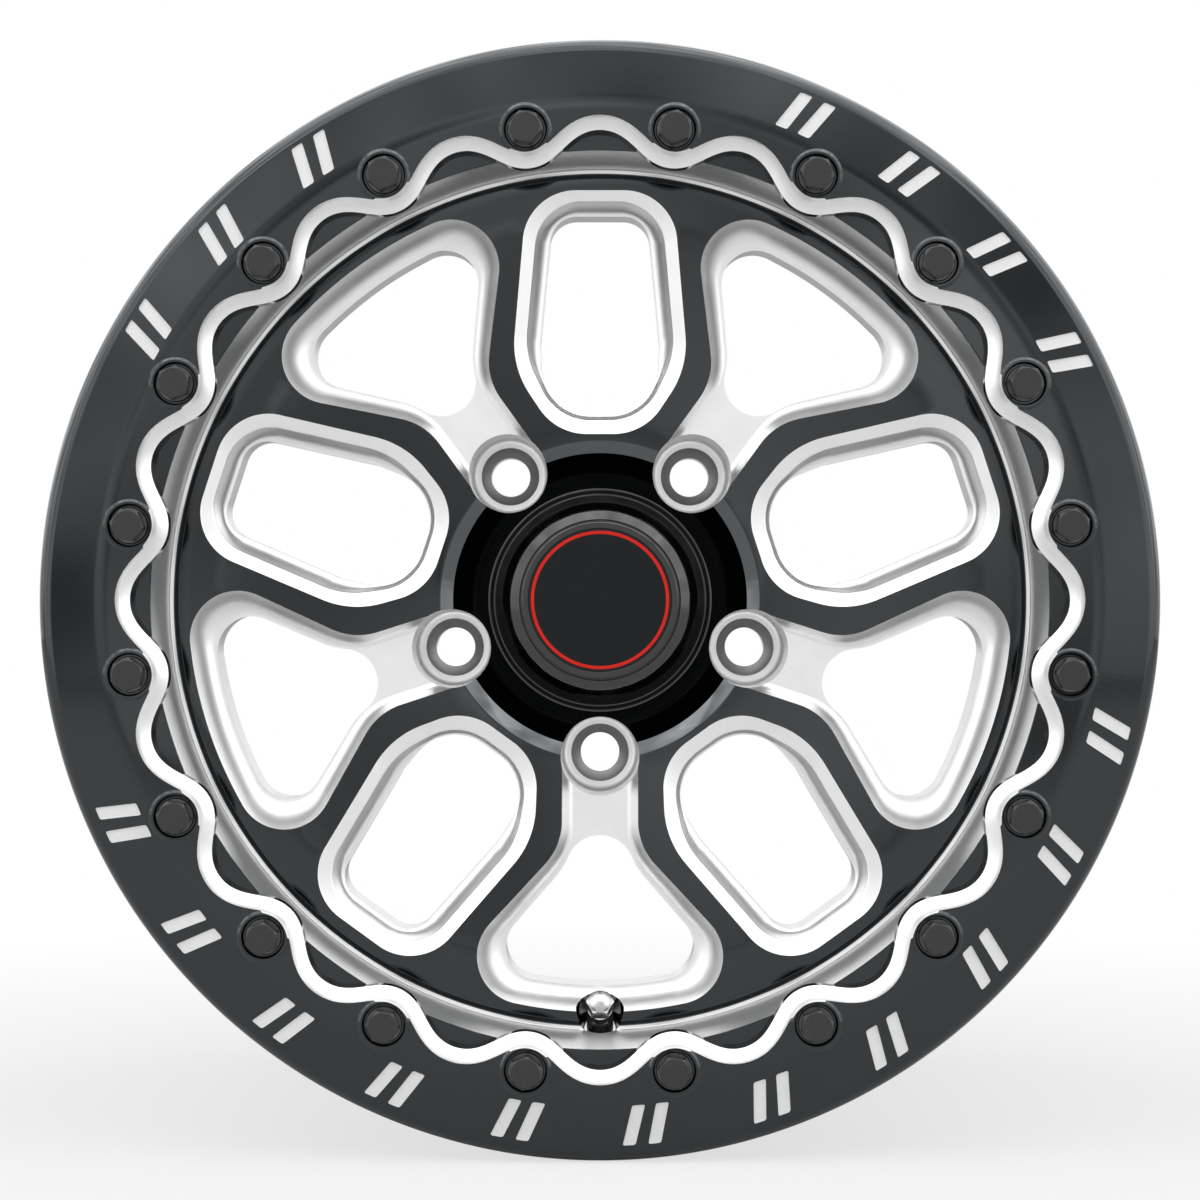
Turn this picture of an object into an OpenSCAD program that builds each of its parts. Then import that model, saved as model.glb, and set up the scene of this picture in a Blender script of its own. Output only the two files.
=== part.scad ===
// Beadlock wheel, 15 x 10 inch, five lugs, with a bolted clamp ring on its outboard bead.
// The axle lies along Y and the street side faces -Y. The origin is the centre of the hub
// mounting face. Every module below draws with its own Z pointing to the street side, and
// place() at the end turns the finished piece into the wheel's frame.

/* [Bead seats and barrel] */
// Radius of the inboard bead seat at its heel
bead_seat_r = 190.1; // [188:0.1:192]
// Height of the inboard flange above the bead seat
flange_h = 17.3; // [14:0.1:19]
// Distance from the mounting face back to the inboard lip
backspace = 190.5; // [170:0.5:200]
// Depth of the drop centre below the bead seat
well_depth = 25.1; // [24.1:0.1:26.1]
// Thickness of the barrel wall
barrel_wall = 4.5; // [4:0.1:6]

/* [Hub] */
// Radius of the centre bore that pilots on the hub
hub_bore_r = 39.05; // [35:0.05:40]
// Depth of the pilot bore from the mounting face
hub_bore_len = 20; // [16:0.5:22]
// Radius of the circle the lug holes sit on
lug_circle_r = 60.325; // [59.5:0.025:61]
// Radius of a lug hole
lug_hole_r = 7.7; // [6.5:0.05:8.5]
// Height of the lug seat above the mounting face
lug_seat_z = 19; // [16:0.5:22]
// Radius of the pocket that a lug nut goes down
lug_pocket_r = 15.1; // [14.9:0.1:15.6]
// Outer radius of the mounting pad
pad_r = 72.5; // [71:0.5:73]

/* [Centre face] */
// Height of the face beside the hub
face_hub_z = 56; // [55:0.5:58]
// Rise of the sloping lip round the hub's recess
hub_lip_rise = 2.1; // [1.5:0.1:3]
// Height of the face at the rim
face_rim_z = 62.5; // [61.5:0.5:65]
// Height of the milled floor between a lug pocket and its window
channel_z = 51; // [49:0.5:52]
// Height of the back of the spokes
spoke_back_z = 30.5; // [28:0.5:33]
// Distance from the edge of the bolted seat in to the edge of the black face
face_inset = 27; // [26:0.1:28]
// Half width of the milled channel at the face
channel_w = 14.7; // [14:0.1:14.8]
// Half width of the milled channel at its floor
channel_floor_w = 10; // [9:0.1:11]
// Fall of the shallow ledge round an oval window
ledge_drop = 1.6; // [1:0.1:2]

/* [Clamp ring] */
// Width of the clamp ring outside the wheel's bolted seat
ring_band_w = 20.2; // [18:0.1:22]
// Thickness of the clamp ring
ring_t = 11; // [10:0.5:13]
// Height of the face that the clamp ring is bolted to
seat_z = 82; // [81:0.5:84]
// Width of the slot that holds the tyre bead
bead_slot_w = 14; // [12:0.5:15]
// Number of clamp bolts
bolt_count = 20; // [20]
// Distance from the edge of the bolted seat in to the bolt circle
bolt_inset = 12.4; // [11.5:0.1:13]
// Distance from a bolt's axis in to the scalloped edge
bolt_margin = 13.9; // [13:0.1:14.5]
// Depth of the scallops
scallop_depth = 12.2; // [11:0.1:13.5]
// Width of the milled bevel along the scallops
bevel_w = 4.9; // [4:0.1:5.5]
// Depth of the engraved bars on the ring
engrave_d = 0.6; // [0.3:0.1:1]

/* [Clamp bolts] */
// Radius of a bolt shank
bolt_r = 3.97; // [3.5:0.01:4.2]
// Length of a bolt under its head
bolt_len = 26; // [22:0.5:28]
// Width of a bolt head across its flats
bolt_hex = 11.1; // [10:0.1:11.6]
// Height of a bolt head
bolt_head_h = 7.4; // [6:0.1:8]
// Radius of a washer
washer_r = 6.8; // [6.6:0.1:7.2]
// Thickness of a washer
washer_t = 1.3; // [1:0.1:1.8]

/* [Centre cap] */
// Radius of the bore that the cap is pushed into
cap_bore_r = 40.6; // [40.2:0.1:41]
// Width of the cap's flange outside that bore
cap_flange_w = 2.7; // [2.4:0.1:3]
// Height of the cap's crown above the mounting face
cap_top_z = 72; // [68:0.5:76]
// Distance from the cap's bore in to the side of its crown
cap_step_w = 6.4; // [6:0.1:7]
// Width of the crown round its badge
crown_w = 7.4; // [7:0.1:8]

/* [Valve] */
// Lean of the valve towards the axle
valve_lean = 30; // [29:0.5:31]
// Radius of the hole for the valve
valve_hole_r = 5.7; // [5.6:0.05:6]
// Radius of the pocket round the valve
valve_pocket_r = 9.2; // [9:0.1:9.5]
// Length of the stem from its seat to its tip
stem_len = 35.5; // [34:0.5:37]
// Radius of the stem's thread
stem_r = 3.85; // [3.6:0.05:3.95]

/* [Hidden] */
bolt_names = [for (i = [1 : bolt_count]) str("clamp_bolt_", i < 10 ? "0" : "", i)];
washer_names = [for (i = [1 : bolt_count]) str("bolt_washer_", i < 10 ? "0" : "", i)];

$fn = 96;
lug_count = 5;
lug_step = 360 / lug_count;
valve_angle = -90;
clear = 0.05;
tall = 20;

// Working heights of the centre
recess_z = 44;
recess_r = cap_bore_r + 15.6;
recess_round = 9.8;
cap_bore_z = hub_bore_len + 2;
hub_edge_r = recess_r + 5.3;
face_edge_z = face_rim_z - 2.3;
seat_outer_r = bead_seat_r - 0.8;
support_r = bead_seat_r + 13.9;
ring_r = seat_outer_r + ring_band_w;
support_z = seat_z - bead_slot_w;
well_r = bead_seat_r - well_depth;
bolt_circle_r = seat_outer_r - bolt_inset;
scallop_min_r = bolt_circle_r - bolt_margin;
scallop_max_r = scallop_min_r + scallop_depth;
seat_inner_r = bolt_circle_r - 8.3;
face_r = seat_outer_r - face_inset;
band_foot_r = face_r + 1;
crease_r = face_r - 18.8;
annulus_back_r = well_r - 5;

// Height of the front face at a radius
function face_z(r) = r < crease_r
    ? face_hub_z + (face_rim_z - face_hub_z) * (r - hub_edge_r) / (crease_r - hub_edge_r)
    : face_rim_z;

// Points of an arc round c from angle a to angle b
function arc(c, r, a, b, n) = [for (i = [0 : n]) c + r * [cos(a + (b - a) * i / n), sin(a + (b - a) * i / n)]];
function flip(points) = [for (i = [len(points) - 1 : -1 : 0]) [points[i][0], -points[i][1]]];
function at_height(points, z) = [for (p = points) [p[0], p[1], z]];
function mix(a, b, t) = [for (i = [0 : len(a) - 1]) a[i] + (b[i] - a[i]) * t];

// A closed solid through equally long rings of points, listed from the lowest to the highest
module loft(rings) {
    n = len(rings[0]);
    last = (len(rings) - 1) * n;
    sides = [for (k = [0 : len(rings) - 2], i = [0 : n - 1])
        each [[k * n + i, (k + 1) * n + i, (k + 1) * n + (i + 1) % n],
              [k * n + i, (k + 1) * n + (i + 1) % n, k * n + (i + 1) % n]]];
    polyhedron(
        points = [for (ring = rings) each ring],
        faces = concat(sides, [[for (i = [0 : n - 1]) i]], [[for (i = [n - 1 : -1 : 0]) last + i]]),
        convexity = 6);
}

module round_copies(count, first = 0) {
    for (i = [0 : count - 1]) rotate([0, 0, first + i * 360 / count]) children();
}

// Oval windows. Half an outline is three arcs, listed from the rim to the hub as
// [along, across, radius], and an inset changes the radii alone.
oval_reach = face_r - 26.4;
function between(a, b, t) = a + (b - a) * t;
oval_face = [[oval_reach, 9.1, 20.4], [between(85.5, oval_reach, 0.25), -1.5, 34.3], [85.5, 5.1, 21.8]];
oval_lip = [[oval_reach - 2, 6.6, 18.1], [between(89.8, oval_reach, 0.22), -3, 30.8], [89.8, 3.6, 20.5]];
oval_hole = [[oval_reach + 1.8, 9, 10], [between(89.7, oval_reach, 0.18), 3.7, 19], [89.7, 3.7, 18.5]];
function tangent_angle(a, b) = let (d = [b[0] - a[0], b[1] - a[1]])
    atan2(d[1], d[0]) + acos((a[2] - b[2]) / norm(d));
function oval_half(o, inset = 0) = let (
        side = tangent_angle(o[1], o[0]),
        tail = tangent_angle(o[2], o[1]))
    concat(
        arc([o[0][0], o[0][1]], o[0][2] - inset, 0, side, 8),
        arc([o[1][0], o[1][1]], o[1][2] - inset, side, tail, 5),
        arc([o[2][0], o[2][1]], o[2][2] - inset, tail, 180, 7));
function oval(o, inset = 0) = concat(oval_half(o, inset), flip(oval_half(o, inset)));
function below_face(points, drop) = [for (p = points) [p[0], p[1], face_z(norm(p)) - drop]];
function oval_cove(t) = let (
        lip = below_face(oval(oval_lip), ledge_drop),
        plan = mix(oval(oval_lip), oval(oval_hole), 1 - cos(90 * t)))
    [for (i = [0 : len(lip) - 1]) [plan[i][0], plan[i][1], lip[i][2] + (channel_z - lip[i][2]) * sin(90 * t)]];
overshoot = 0.6;
// The ledge's slope carried on above the face
function oval_rise(t) = mix(oval(oval_face), oval(oval_lip), -t);

module oval_cutter() {
    loft(concat(
        [at_height(oval(oval_hole), -tall)],
        [for (i = [4 : -1 : 0]) oval_cove(i / 4)],
        [below_face(oval_rise(overshoot), -ledge_drop * overshoot),
         at_height(oval_rise(overshoot), face_rim_z + tall)]));
}

// Bell windows. Each outline is a channel, a throat, a straight flank, a corner and the rim's arc.
// A bell is [channel half width, throat radius, corner centre and radius, rim radius].
bell_reach = face_r - 24.8;
bell_face = [channel_w, 24, [bell_reach, 27.5], 19.5, bell_reach + 22.5];
bell_floor = [channel_floor_w, 29, [bell_reach - 4, 23], 13.5, bell_reach + 11.4];
// Centre of the throat's arc, which runs from the channel's edge into a flank at this angle
function throat_centre(b, flank) = [
    (b[2] * [-sin(flank), cos(flank)] + b[3] + b[1] - (b[0] + b[1]) * cos(flank)) / -sin(flank),
    b[0] + b[1]];
function bell_corner(b, flank) = let (rim_turn = atan2(b[2][1], b[2][0]))
    concat(arc([0, 0], b[4], 0, rim_turn * 0.8, 4), arc(b[2], b[3], rim_turn, 90 + flank, 9));
function bell_half(b, flank) = concat(
    bell_corner(b, flank), arc(throat_centre(b, flank), b[1], flank - 90, -90, 6),
    [[min(lug_circle_r, throat_centre(b, flank)[0] - 1), b[0]]]);
// Angle of the straight flanks at the face and at the floor
flank_face = 43;
flank_floor = 41;
function bell(b, flank) = concat(bell_half(b, flank), flip(bell_half(b, flank)));
cove_lead = 0.5;
function lift(points) = [for (p = points) [p[0], p[1], face_z(norm(p)) + cove_lead]];
function bell_cove(t) = let (
        top = lift(bell(bell_face, flank_face)),
        base = at_height(bell(bell_floor, flank_floor), channel_z),
        plan = mix(top, base, 1 - cos(90 * t)))
    [for (i = [0 : len(top) - 1]) [plan[i][0], plan[i][1], top[i][2] + (channel_z - top[i][2]) * sin(90 * t)]];

module bell_pocket() {
    loft(concat(
        [for (i = [5 : -1 : 0]) bell_cove(i / 5)],
        [at_height(bell(bell_face, flank_face), face_rim_z + tall)]));
}

// The hole through the spoke, just inside the foot of the cove. An arch closes it at the channel,
// tangent to the throat on both sides.
hole_land = 0.4;
hole_lead = 3;
function bell_hole_half() = let (
        b = [bell_floor[0], bell_floor[1] + hole_land, bell_floor[2], bell_floor[3] - hole_land, bell_floor[4] - hole_land],
        throat = throat_centre(b, flank_floor),
        arch_r = (hole_lead * hole_lead + throat[1] * throat[1] - b[1] * b[1]) / (b[1] - hole_lead) / 2,
        meet = atan2(-throat[1], hole_lead + arch_r))
    concat(
        bell_corner(b, flank_floor),
        arc(throat, b[1], flank_floor - 90, meet, 3),
        arc([throat[0] + hole_lead + arch_r, 0], arch_r, meet + 180, 180, 6));
module bell_hole()
    translate([0, 0, -tall]) linear_extrude(tall + channel_z + 2)
        polygon(concat(bell_hole_half(), flip(bell_hole_half())));

// Section of the one-piece wheel, from the hub bore round the front to the back
lip_r = bead_seat_r + flange_h;
lip_round = 9.5;
seat_heel_z = 13.5 - backspace;
flange_z = 11.5 - backspace;
module rim_section() {
    well_back = -15;
    slope = valve_lean;
    slope_top_r = bead_seat_r + 0.5;
    slope_top_z = spoke_back_z + (slope_top_r - well_r) * tan(slope);
    step_r = bead_seat_r - 11.6;
    ledge_r = bead_seat_r - 8.6;
    polygon(concat(
        [[hub_bore_r, 0], [hub_bore_r, hub_bore_len], [cap_bore_r, cap_bore_z], [cap_bore_r, recess_z]],
        arc([recess_r - recess_round, recess_z + recess_round], recess_round, -90, 0, 7),
        [[recess_r, face_hub_z - hub_lip_rise], [hub_edge_r, face_hub_z],
         [crease_r, face_rim_z], [face_r - 1.5, face_rim_z]],
        arc([face_r - 1.5, face_rim_z - 1.5], 1.5, 70, 0, 3),
        [[face_r, face_edge_z], [band_foot_r, face_edge_z], [seat_inner_r, seat_z],
         [seat_outer_r - 2.2, seat_z], [seat_outer_r, seat_z - 2.2], [seat_outer_r, support_z]],
        [[support_r - 1.5, support_z], [support_r, support_z - 1.5], [support_r, support_z - 6],
         [support_r - 1.2, support_z - 7.5], [bead_seat_r + 2.9, support_z - 19], [slope_top_r, slope_top_z],
         [well_r, spoke_back_z], [well_r, well_back]],
        [[step_r, -37], [ledge_r, 50 - backspace], [bead_seat_r - 4.1, 39 - backspace]],
        arc([bead_seat_r - 2.5, 34 - backspace], 2.4, 140, 30, 4),
        [[bead_seat_r - 1.5, 30 - backspace], [bead_seat_r, seat_heel_z]],
        arc([bead_seat_r + 4, seat_heel_z + 2], 4, 210, 270, 3),
        arc([lip_r - lip_round, flange_z - lip_round], lip_round, 90, -12, 8),
        [[lip_r - 3.6, -backspace]],
        arc([lip_r - lip_round, flange_z - lip_round], lip_round - 4, -12, 90, 6),
        [[bead_seat_r - 1, flange_z - 4], [bead_seat_r - 5, flange_z - 1],
         [bead_seat_r - 6.3, seat_heel_z + 2], [bead_seat_r - 7.3, 30 - backspace],
         [ledge_r - barrel_wall, 46 - backspace], [step_r - barrel_wall, -39],
         [well_r - barrel_wall, well_back - 4], [well_r - barrel_wall, spoke_back_z - 8],
         [annulus_back_r, spoke_back_z]],
        [[102, spoke_back_z], [88, spoke_back_z - 6], [78, spoke_back_z - 15], [pad_r + 1, 3], [pad_r - 2, 0]]));
}

module lug_pocket() {
    fillet = 2.3;
    rotate_extrude() polygon(concat(
        [[0, lug_seat_z]],
        arc([lug_pocket_r - fillet, lug_seat_z + fillet], fillet, -90, 0, 5),
        [[lug_pocket_r, face_rim_z + tall], [0, face_rim_z + tall]]));
    seat_depth = 6.4;
    translate([0, 0, lug_seat_z - seat_depth])
        cylinder(r1 = lug_hole_r, r2 = lug_hole_r + seat_depth * tan(30), h = seat_depth + 0.01);
    translate([0, 0, -1]) cylinder(r = lug_hole_r, h = lug_seat_z);
}

// Draws in the valve's own frame, Z along the stem, from where its axis leaves the drop centre
valve_seat_r = well_r + 6.4;
module on_valve() {
    rotate([0, 0, valve_angle])
        translate([valve_seat_r, 0, spoke_back_z + (valve_seat_r - well_r) * tan(valve_lean)])
            rotate([0, -valve_lean, 0]) children();
}
valve_floor_s = 4.5;
valve_reach = 60;

pad_pocket_r = 11;
pad_pocket_d = 12;

module wheel_rim() color([0.07, 0.07, 0.08]) difference() {
    rotate_extrude() rim_section();
    round_copies(lug_count, valve_angle + lug_step / 2) oval_cutter();
    round_copies(lug_count, valve_angle) bell_pocket();
    round_copies(lug_count, valve_angle) bell_hole();
    round_copies(lug_count, valve_angle) translate([lug_circle_r, 0, 0]) lug_pocket();
    round_copies(lug_count, valve_angle + lug_step / 2)
        translate([lug_circle_r, 0, -1]) cylinder(r = pad_pocket_r, h = pad_pocket_d + 1);
    on_valve() translate([0, 0, valve_floor_s]) cylinder(r = valve_pocket_r, h = valve_reach);
    on_valve() translate([0, 0, -valve_reach / 2]) cylinder(r = valve_hole_r, h = valve_reach);
    round_copies(bolt_count, 180 / bolt_count)
        translate([bolt_circle_r, 0, insert_foot_z - 3]) cylinder(r = insert_r, h = tall * 2);
}

// Threaded inserts that line the blind holes for the clamp bolts
insert_wall = 1.1;
insert_len = 18;
insert_r = bolt_r + insert_wall;
insert_foot_z = seat_z - insert_len;
module thread_inserts() color([0.7, 0.7, 0.68])
    round_copies(bolt_count, 180 / bolt_count) translate([bolt_circle_r, 0, insert_foot_z]) difference() {
        cylinder(r = insert_r - clear / 2, h = seat_z - 0.5 - insert_foot_z);
        translate([0, 0, -1]) cylinder(r = bolt_r + clear, h = tall * 2);
    }

// Scalloped edge of the clamp ring: a cosine wave with flattened crests
wave_steps = 12;
flatten = 0.03;
function wave(angle) = let (phase = bolt_count * angle)
    (cos(phase) - flatten * cos(3 * phase)) / (1 - flatten);
function scallop(grow) = [for (i = [0 : bolt_count * wave_steps - 1]) let (
        a = i * 360 / (bolt_count * wave_steps),
        mean_r = (scallop_min_r + scallop_max_r) / 2,
        swing = (scallop_max_r - scallop_min_r) / 2,
        r = mean_r + swing * wave(a),
        slope = -swing * bolt_count * (sin(bolt_count * a) - 3 * flatten * sin(3 * bolt_count * a)) / (1 - flatten) / r,
        out = [1, -slope] / norm([1, slope]))
    [(r + grow * out[0]) * cos(a) - grow * out[1] * sin(a), (r + grow * out[0]) * sin(a) + grow * out[1] * cos(a)]];

ring_top_z = seat_z + ring_t;
ring_land_r = seat_outer_r - 3.9;
ring_edge_drop = 2;
boss_r = 8.9;
boss_h = 0.8;
bolt_recess_r = 7.8;
bolt_seat_z = ring_top_z - 1.6;
bevel_d = 4.6;
function ring_front(drop) = concat(
    [[ring_land_r, ring_top_z - drop]],
    arc([ring_r - 6.5, ring_top_z - ring_edge_drop - 6.5], 6.5 - drop, 80, 0, 5));

module ring_section() {
    grip = [for (i = [1 : 3]) seat_outer_r + i * ring_band_w / 5];
    difference() {
        polygon(concat(
            [[scallop_min_r - 2, seat_z], [scallop_min_r - 2, ring_top_z]], ring_front(0),
            [[ring_r, seat_z + 1.2], [ring_r - 1.2, seat_z]]));
        for (r = grip) translate([r, seat_z]) rotate(45) square(1.2, center = true);
    }
}

// Pairs of slanted bars cut into the outer band in three rows of [first angle, step, count]
bar_rows = [[67, 13, 4], [-15, 14, 11], [149, 13, 3]];
bar_places = [for (row = bar_rows, i = [0 : row[2] - 1]) row[0] - i * row[1]];
bar_r0 = ring_land_r + 2.6;
bar_len = ring_band_w - 5.2;
bar_w = 4.8;
bar_slant = 4.5;
bar_gap = 1.35;
module bars() {
    for (a = bar_places, side = [-1, 1])
        rotate([0, 0, a + side * bar_gap]) translate([bar_r0, 0, ring_top_z - 8])
            linear_extrude(tall) polygon(
                [[0, 0], [bar_len, -bar_slant], [bar_len, bar_w - bar_slant], [0, bar_w]]);
}

module beadlock_ring() color([0.07, 0.07, 0.08]) difference() {
    union() {
        rotate_extrude() ring_section();
        round_copies(bolt_count, 180 / bolt_count) translate([bolt_circle_r, 0, ring_top_z - 1])
            cylinder(r1 = boss_r + 1, r2 = boss_r, h = boss_h + 1);
    }
    loft([
        at_height(scallop(0), seat_z - tall),
        at_height(scallop(0), ring_top_z - bevel_d),
        at_height(scallop(bevel_w * 0.35), ring_top_z - bevel_d * 0.8),
        at_height(scallop(bevel_w * 0.75), ring_top_z - bevel_d * 0.4),
        at_height(scallop(bevel_w), ring_top_z),
        at_height(scallop(bevel_w), ring_top_z + tall)]);
    round_copies(bolt_count, 180 / bolt_count) translate([bolt_circle_r, 0, 0]) {
        translate([0, 0, bolt_seat_z]) cylinder(r = bolt_recess_r, h = tall);
        translate([0, 0, seat_z - 1]) cylinder(r = bolt_r + 0.35, h = tall);
    }
    intersection() {
        rotate_extrude() polygon(concat(
            [[ring_land_r, ring_top_z + 3]], [[ring_land_r, ring_top_z - engrave_d]],
            [for (p = ring_front(engrave_d)) if (p[0] > ring_land_r) p],
            [[ring_r + 5, ring_top_z + 3]]));
        bars();
    }
}

function bolt_angle(i) = 180 / bolt_count + (i - 1) * 360 / bolt_count;
module bolt_washer(i) color([0.12, 0.12, 0.13])
    rotate([0, 0, bolt_angle(i)]) translate([bolt_circle_r, 0, bolt_seat_z]) difference() {
        cylinder(r = washer_r, h = washer_t);
        translate([0, 0, -1]) cylinder(r = bolt_r + 0.3, h = tall);
    }

// A plain shank stands for the fine thread
module clamp_bolt(i) color([0.12, 0.12, 0.13])
    rotate([0, 0, bolt_angle(i)]) translate([bolt_circle_r, 0, bolt_seat_z + washer_t]) {
        corner_r = bolt_hex / 2 / cos(30);
        rotate([0, 0, 12 * i]) intersection() {
            cylinder(r = corner_r, h = bolt_head_h, $fn = 6);
            union() {
                cylinder(r = corner_r + 0.5, h = bolt_head_h - 0.9);
                translate([0, 0, bolt_head_h - 0.9])
                    cylinder(r1 = corner_r + 0.5, r2 = bolt_hex / 2 - 0.25, h = 0.9);
            }
        }
        translate([0, 0, -bolt_len]) cylinder(r = bolt_r, h = bolt_len + 1);
    }

// Centre cap, pushed into the bore behind the recess
cap_flange_r = cap_bore_r + cap_flange_w;
cap_crown_r = cap_bore_r - cap_step_w;
badge_r = cap_crown_r - crown_w;
cap_wall = 2.4;
crown_round = 1.2;
crown_fall = 1.6;
skirt_r = cap_bore_r - 0.3;
skirt_foot_z = 26;
badge_t = 1.2;
badge_z = cap_top_z - 1.4;
spring_wire_r = 0.7;
spring_z = 30;
spring_ring_r = cap_bore_r - spring_wire_r - clear;
groove_w = 2 * (spring_wire_r + clear);
module centre_cap() color([0.05, 0.05, 0.055]) rotate_extrude() difference() {
    polygon(concat(
        [[0, badge_z], [badge_r + 0.2, badge_z], [badge_r + 0.2, cap_top_z - 0.3], [badge_r + 0.8, cap_top_z],
         [badge_r + 2.6, cap_top_z], [badge_r + 3, cap_top_z - 0.7], [badge_r + 3.4, cap_top_z - 0.7],
         [badge_r + 3.8, cap_top_z - 0.1]],
        arc([cap_crown_r - crown_round, cap_top_z - crown_fall - crown_round], crown_round, 62, 0, 4),
        [[cap_crown_r + 0.5, cap_top_z - 8], [cap_crown_r + 1.6, recess_z + 10]],
        arc([cap_crown_r + 5.6, recess_z + 7.6], 3.6, 180, 250, 4),
        [[cap_flange_r - 2.9, recess_z + 3.6], [cap_flange_r - 2.2, recess_z + 2.6], [cap_flange_r - 0.5, recess_z + 2.6],
         [cap_flange_r, recess_z + 2.1], [cap_flange_r, recess_z],
         [skirt_r, recess_z], [skirt_r, skirt_foot_z], [skirt_r - cap_wall, skirt_foot_z],
         [skirt_r - cap_wall, recess_z + 0.5], [cap_crown_r - 0.9, recess_z + 4],
         [cap_crown_r - cap_wall, cap_top_z - 8], [cap_crown_r - 6, badge_z - cap_wall], [0, badge_z - cap_wall]]));
    translate([spring_ring_r - groove_w / 2, spring_z - groove_w / 2]) square([cap_wall * 2, groove_w]);
}

// Split wire ring that grips the bore
module cap_spring_ring() color([0.75, 0.75, 0.77])
    rotate([0, 0, 20]) rotate_extrude(angle = 320) translate([spring_ring_r, spring_z])
        circle(r = spring_wire_r, $fn = 32);

red_line_r = badge_r - 1.2;
red_line_w = 1.3;
module cap_badge() color([0.13, 0.135, 0.14]) translate([0, 0, badge_z]) difference() {
    cylinder(r = badge_r, h = badge_t);
    translate([0, 0, badge_t - 0.4]) difference() {
        cylinder(r = red_line_r + red_line_w / 2, h = 1);
        translate([0, 0, -1]) cylinder(r = red_line_r - red_line_w / 2, h = 3);
    }
}

module badge_ring() color([0.85, 0.1, 0.07]) translate([0, 0, badge_z + badge_t - 0.4]) difference() {
    cylinder(r = red_line_r + red_line_w / 2 - 0.02, h = 0.4);
    translate([0, 0, -1]) cylinder(r = red_line_r - red_line_w / 2 + 0.02, h = 3);
}

// Clamp-in valve: head and grommet on the tyre side, washer and nut in the pocket
body_r = 5.1;
head_r = 6.9;
grommet_t = 2.4;
head_t = 1.8;
washer_s = 1.2;
nut_h = 4.6;
nut_hex = 13;
thread_len = 10;
thread_s = stem_len - thread_len;
core_r = 2.2;
core_len = 19;
core_foot = stem_len - 3 - core_len;
pin_r = 0.7;
module valve_stem() color([0.85, 0.85, 0.87]) on_valve() difference() {
    union() {
        translate([0, 0, -grommet_t - head_t]) cylinder(r1 = head_r - 0.5, r2 = head_r, h = head_t);
        translate([0, 0, -grommet_t - 0.1]) cylinder(r = body_r, h = thread_s - 1.4 + grommet_t);
        translate([0, 0, thread_s - 1.5]) cylinder(r1 = body_r, r2 = stem_r, h = 1.5);
        translate([0, 0, thread_s - 0.1]) cylinder(r = stem_r, h = thread_len + 0.1);
    }
    translate([0, 0, -10]) cylinder(r = 1.6, h = core_foot + 11);
    translate([0, 0, core_foot]) cylinder(r = core_r, h = stem_len);
}

module valve_grommet() color([0.06, 0.06, 0.06]) on_valve() translate([0, 0, -grommet_t]) difference() {
    cylinder(r = head_r + 0.2, h = grommet_t);
    translate([0, 0, -1]) cylinder(r = body_r + clear, h = grommet_t + 2);
}

module valve_washer() color([0.8, 0.8, 0.82]) on_valve() translate([0, 0, valve_floor_s]) difference() {
    cylinder(r = valve_pocket_r - 1, h = washer_s);
    translate([0, 0, -1]) cylinder(r = body_r + 0.2, h = washer_s + 2);
}

module valve_nut() color([0.85, 0.85, 0.87]) on_valve() translate([0, 0, valve_floor_s + washer_s]) difference() {
    union() {
        cylinder(r = nut_hex / 2 + 0.7, h = 1.2);
        translate([0, 0, 1]) cylinder(r = nut_hex / 2 / cos(30), h = nut_h - 1, $fn = 6);
    }
    translate([0, 0, -1]) cylinder(r = body_r + clear, h = nut_h + 2);
}

// The core's chamber holds the spring below a collar on the pin
chamber_r = 1.6;
chamber_s = core_foot + 3;
chamber_len = 11;
collar_r = 1.3;
collar_t = 0.8;
pin_travel = 1;
module valve_core() color([0.8, 0.65, 0.3]) on_valve() difference() {
    translate([0, 0, core_foot]) cylinder(r = core_r - clear, h = core_len);
    translate([0, 0, core_foot - 1]) cylinder(r = pin_r + 0.1, h = core_len + 2);
    translate([0, 0, chamber_s]) cylinder(r = chamber_r, h = chamber_len);
}

module valve_pin() color([0.8, 0.65, 0.3]) on_valve() {
    translate([0, 0, core_foot - 2]) cylinder(r = pin_r, h = core_len + 4);
    translate([0, 0, core_foot - 2.5]) cylinder(r = collar_r, h = 1);
    translate([0, 0, chamber_s + chamber_len - collar_t - 0.1]) cylinder(r = collar_r, h = collar_t);
}

coil_turns = 5;
coil_r = 1.15;
coil_wire_r = 0.2;
coil_len = chamber_len - collar_t - 0.1 - pin_travel - 0.3 - 2 * coil_wire_r;
coil_sides = 6;
coil_steps = 12;
function coil_ring(t) = [for (k = [0 : coil_sides - 1]) let (
        r = coil_r + coil_wire_r * cos(k * 360 / coil_sides))
    [r * cos(t * 360), r * sin(t * 360),
     coil_len * t / coil_turns - coil_wire_r * sin(k * 360 / coil_sides)]];
module valve_spring() color([0.75, 0.75, 0.77]) on_valve()
    translate([0, 0, chamber_s + coil_wire_r + 0.1])
        loft([for (i = [0 : coil_turns * coil_steps]) coil_ring(i / coil_steps)]);

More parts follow.
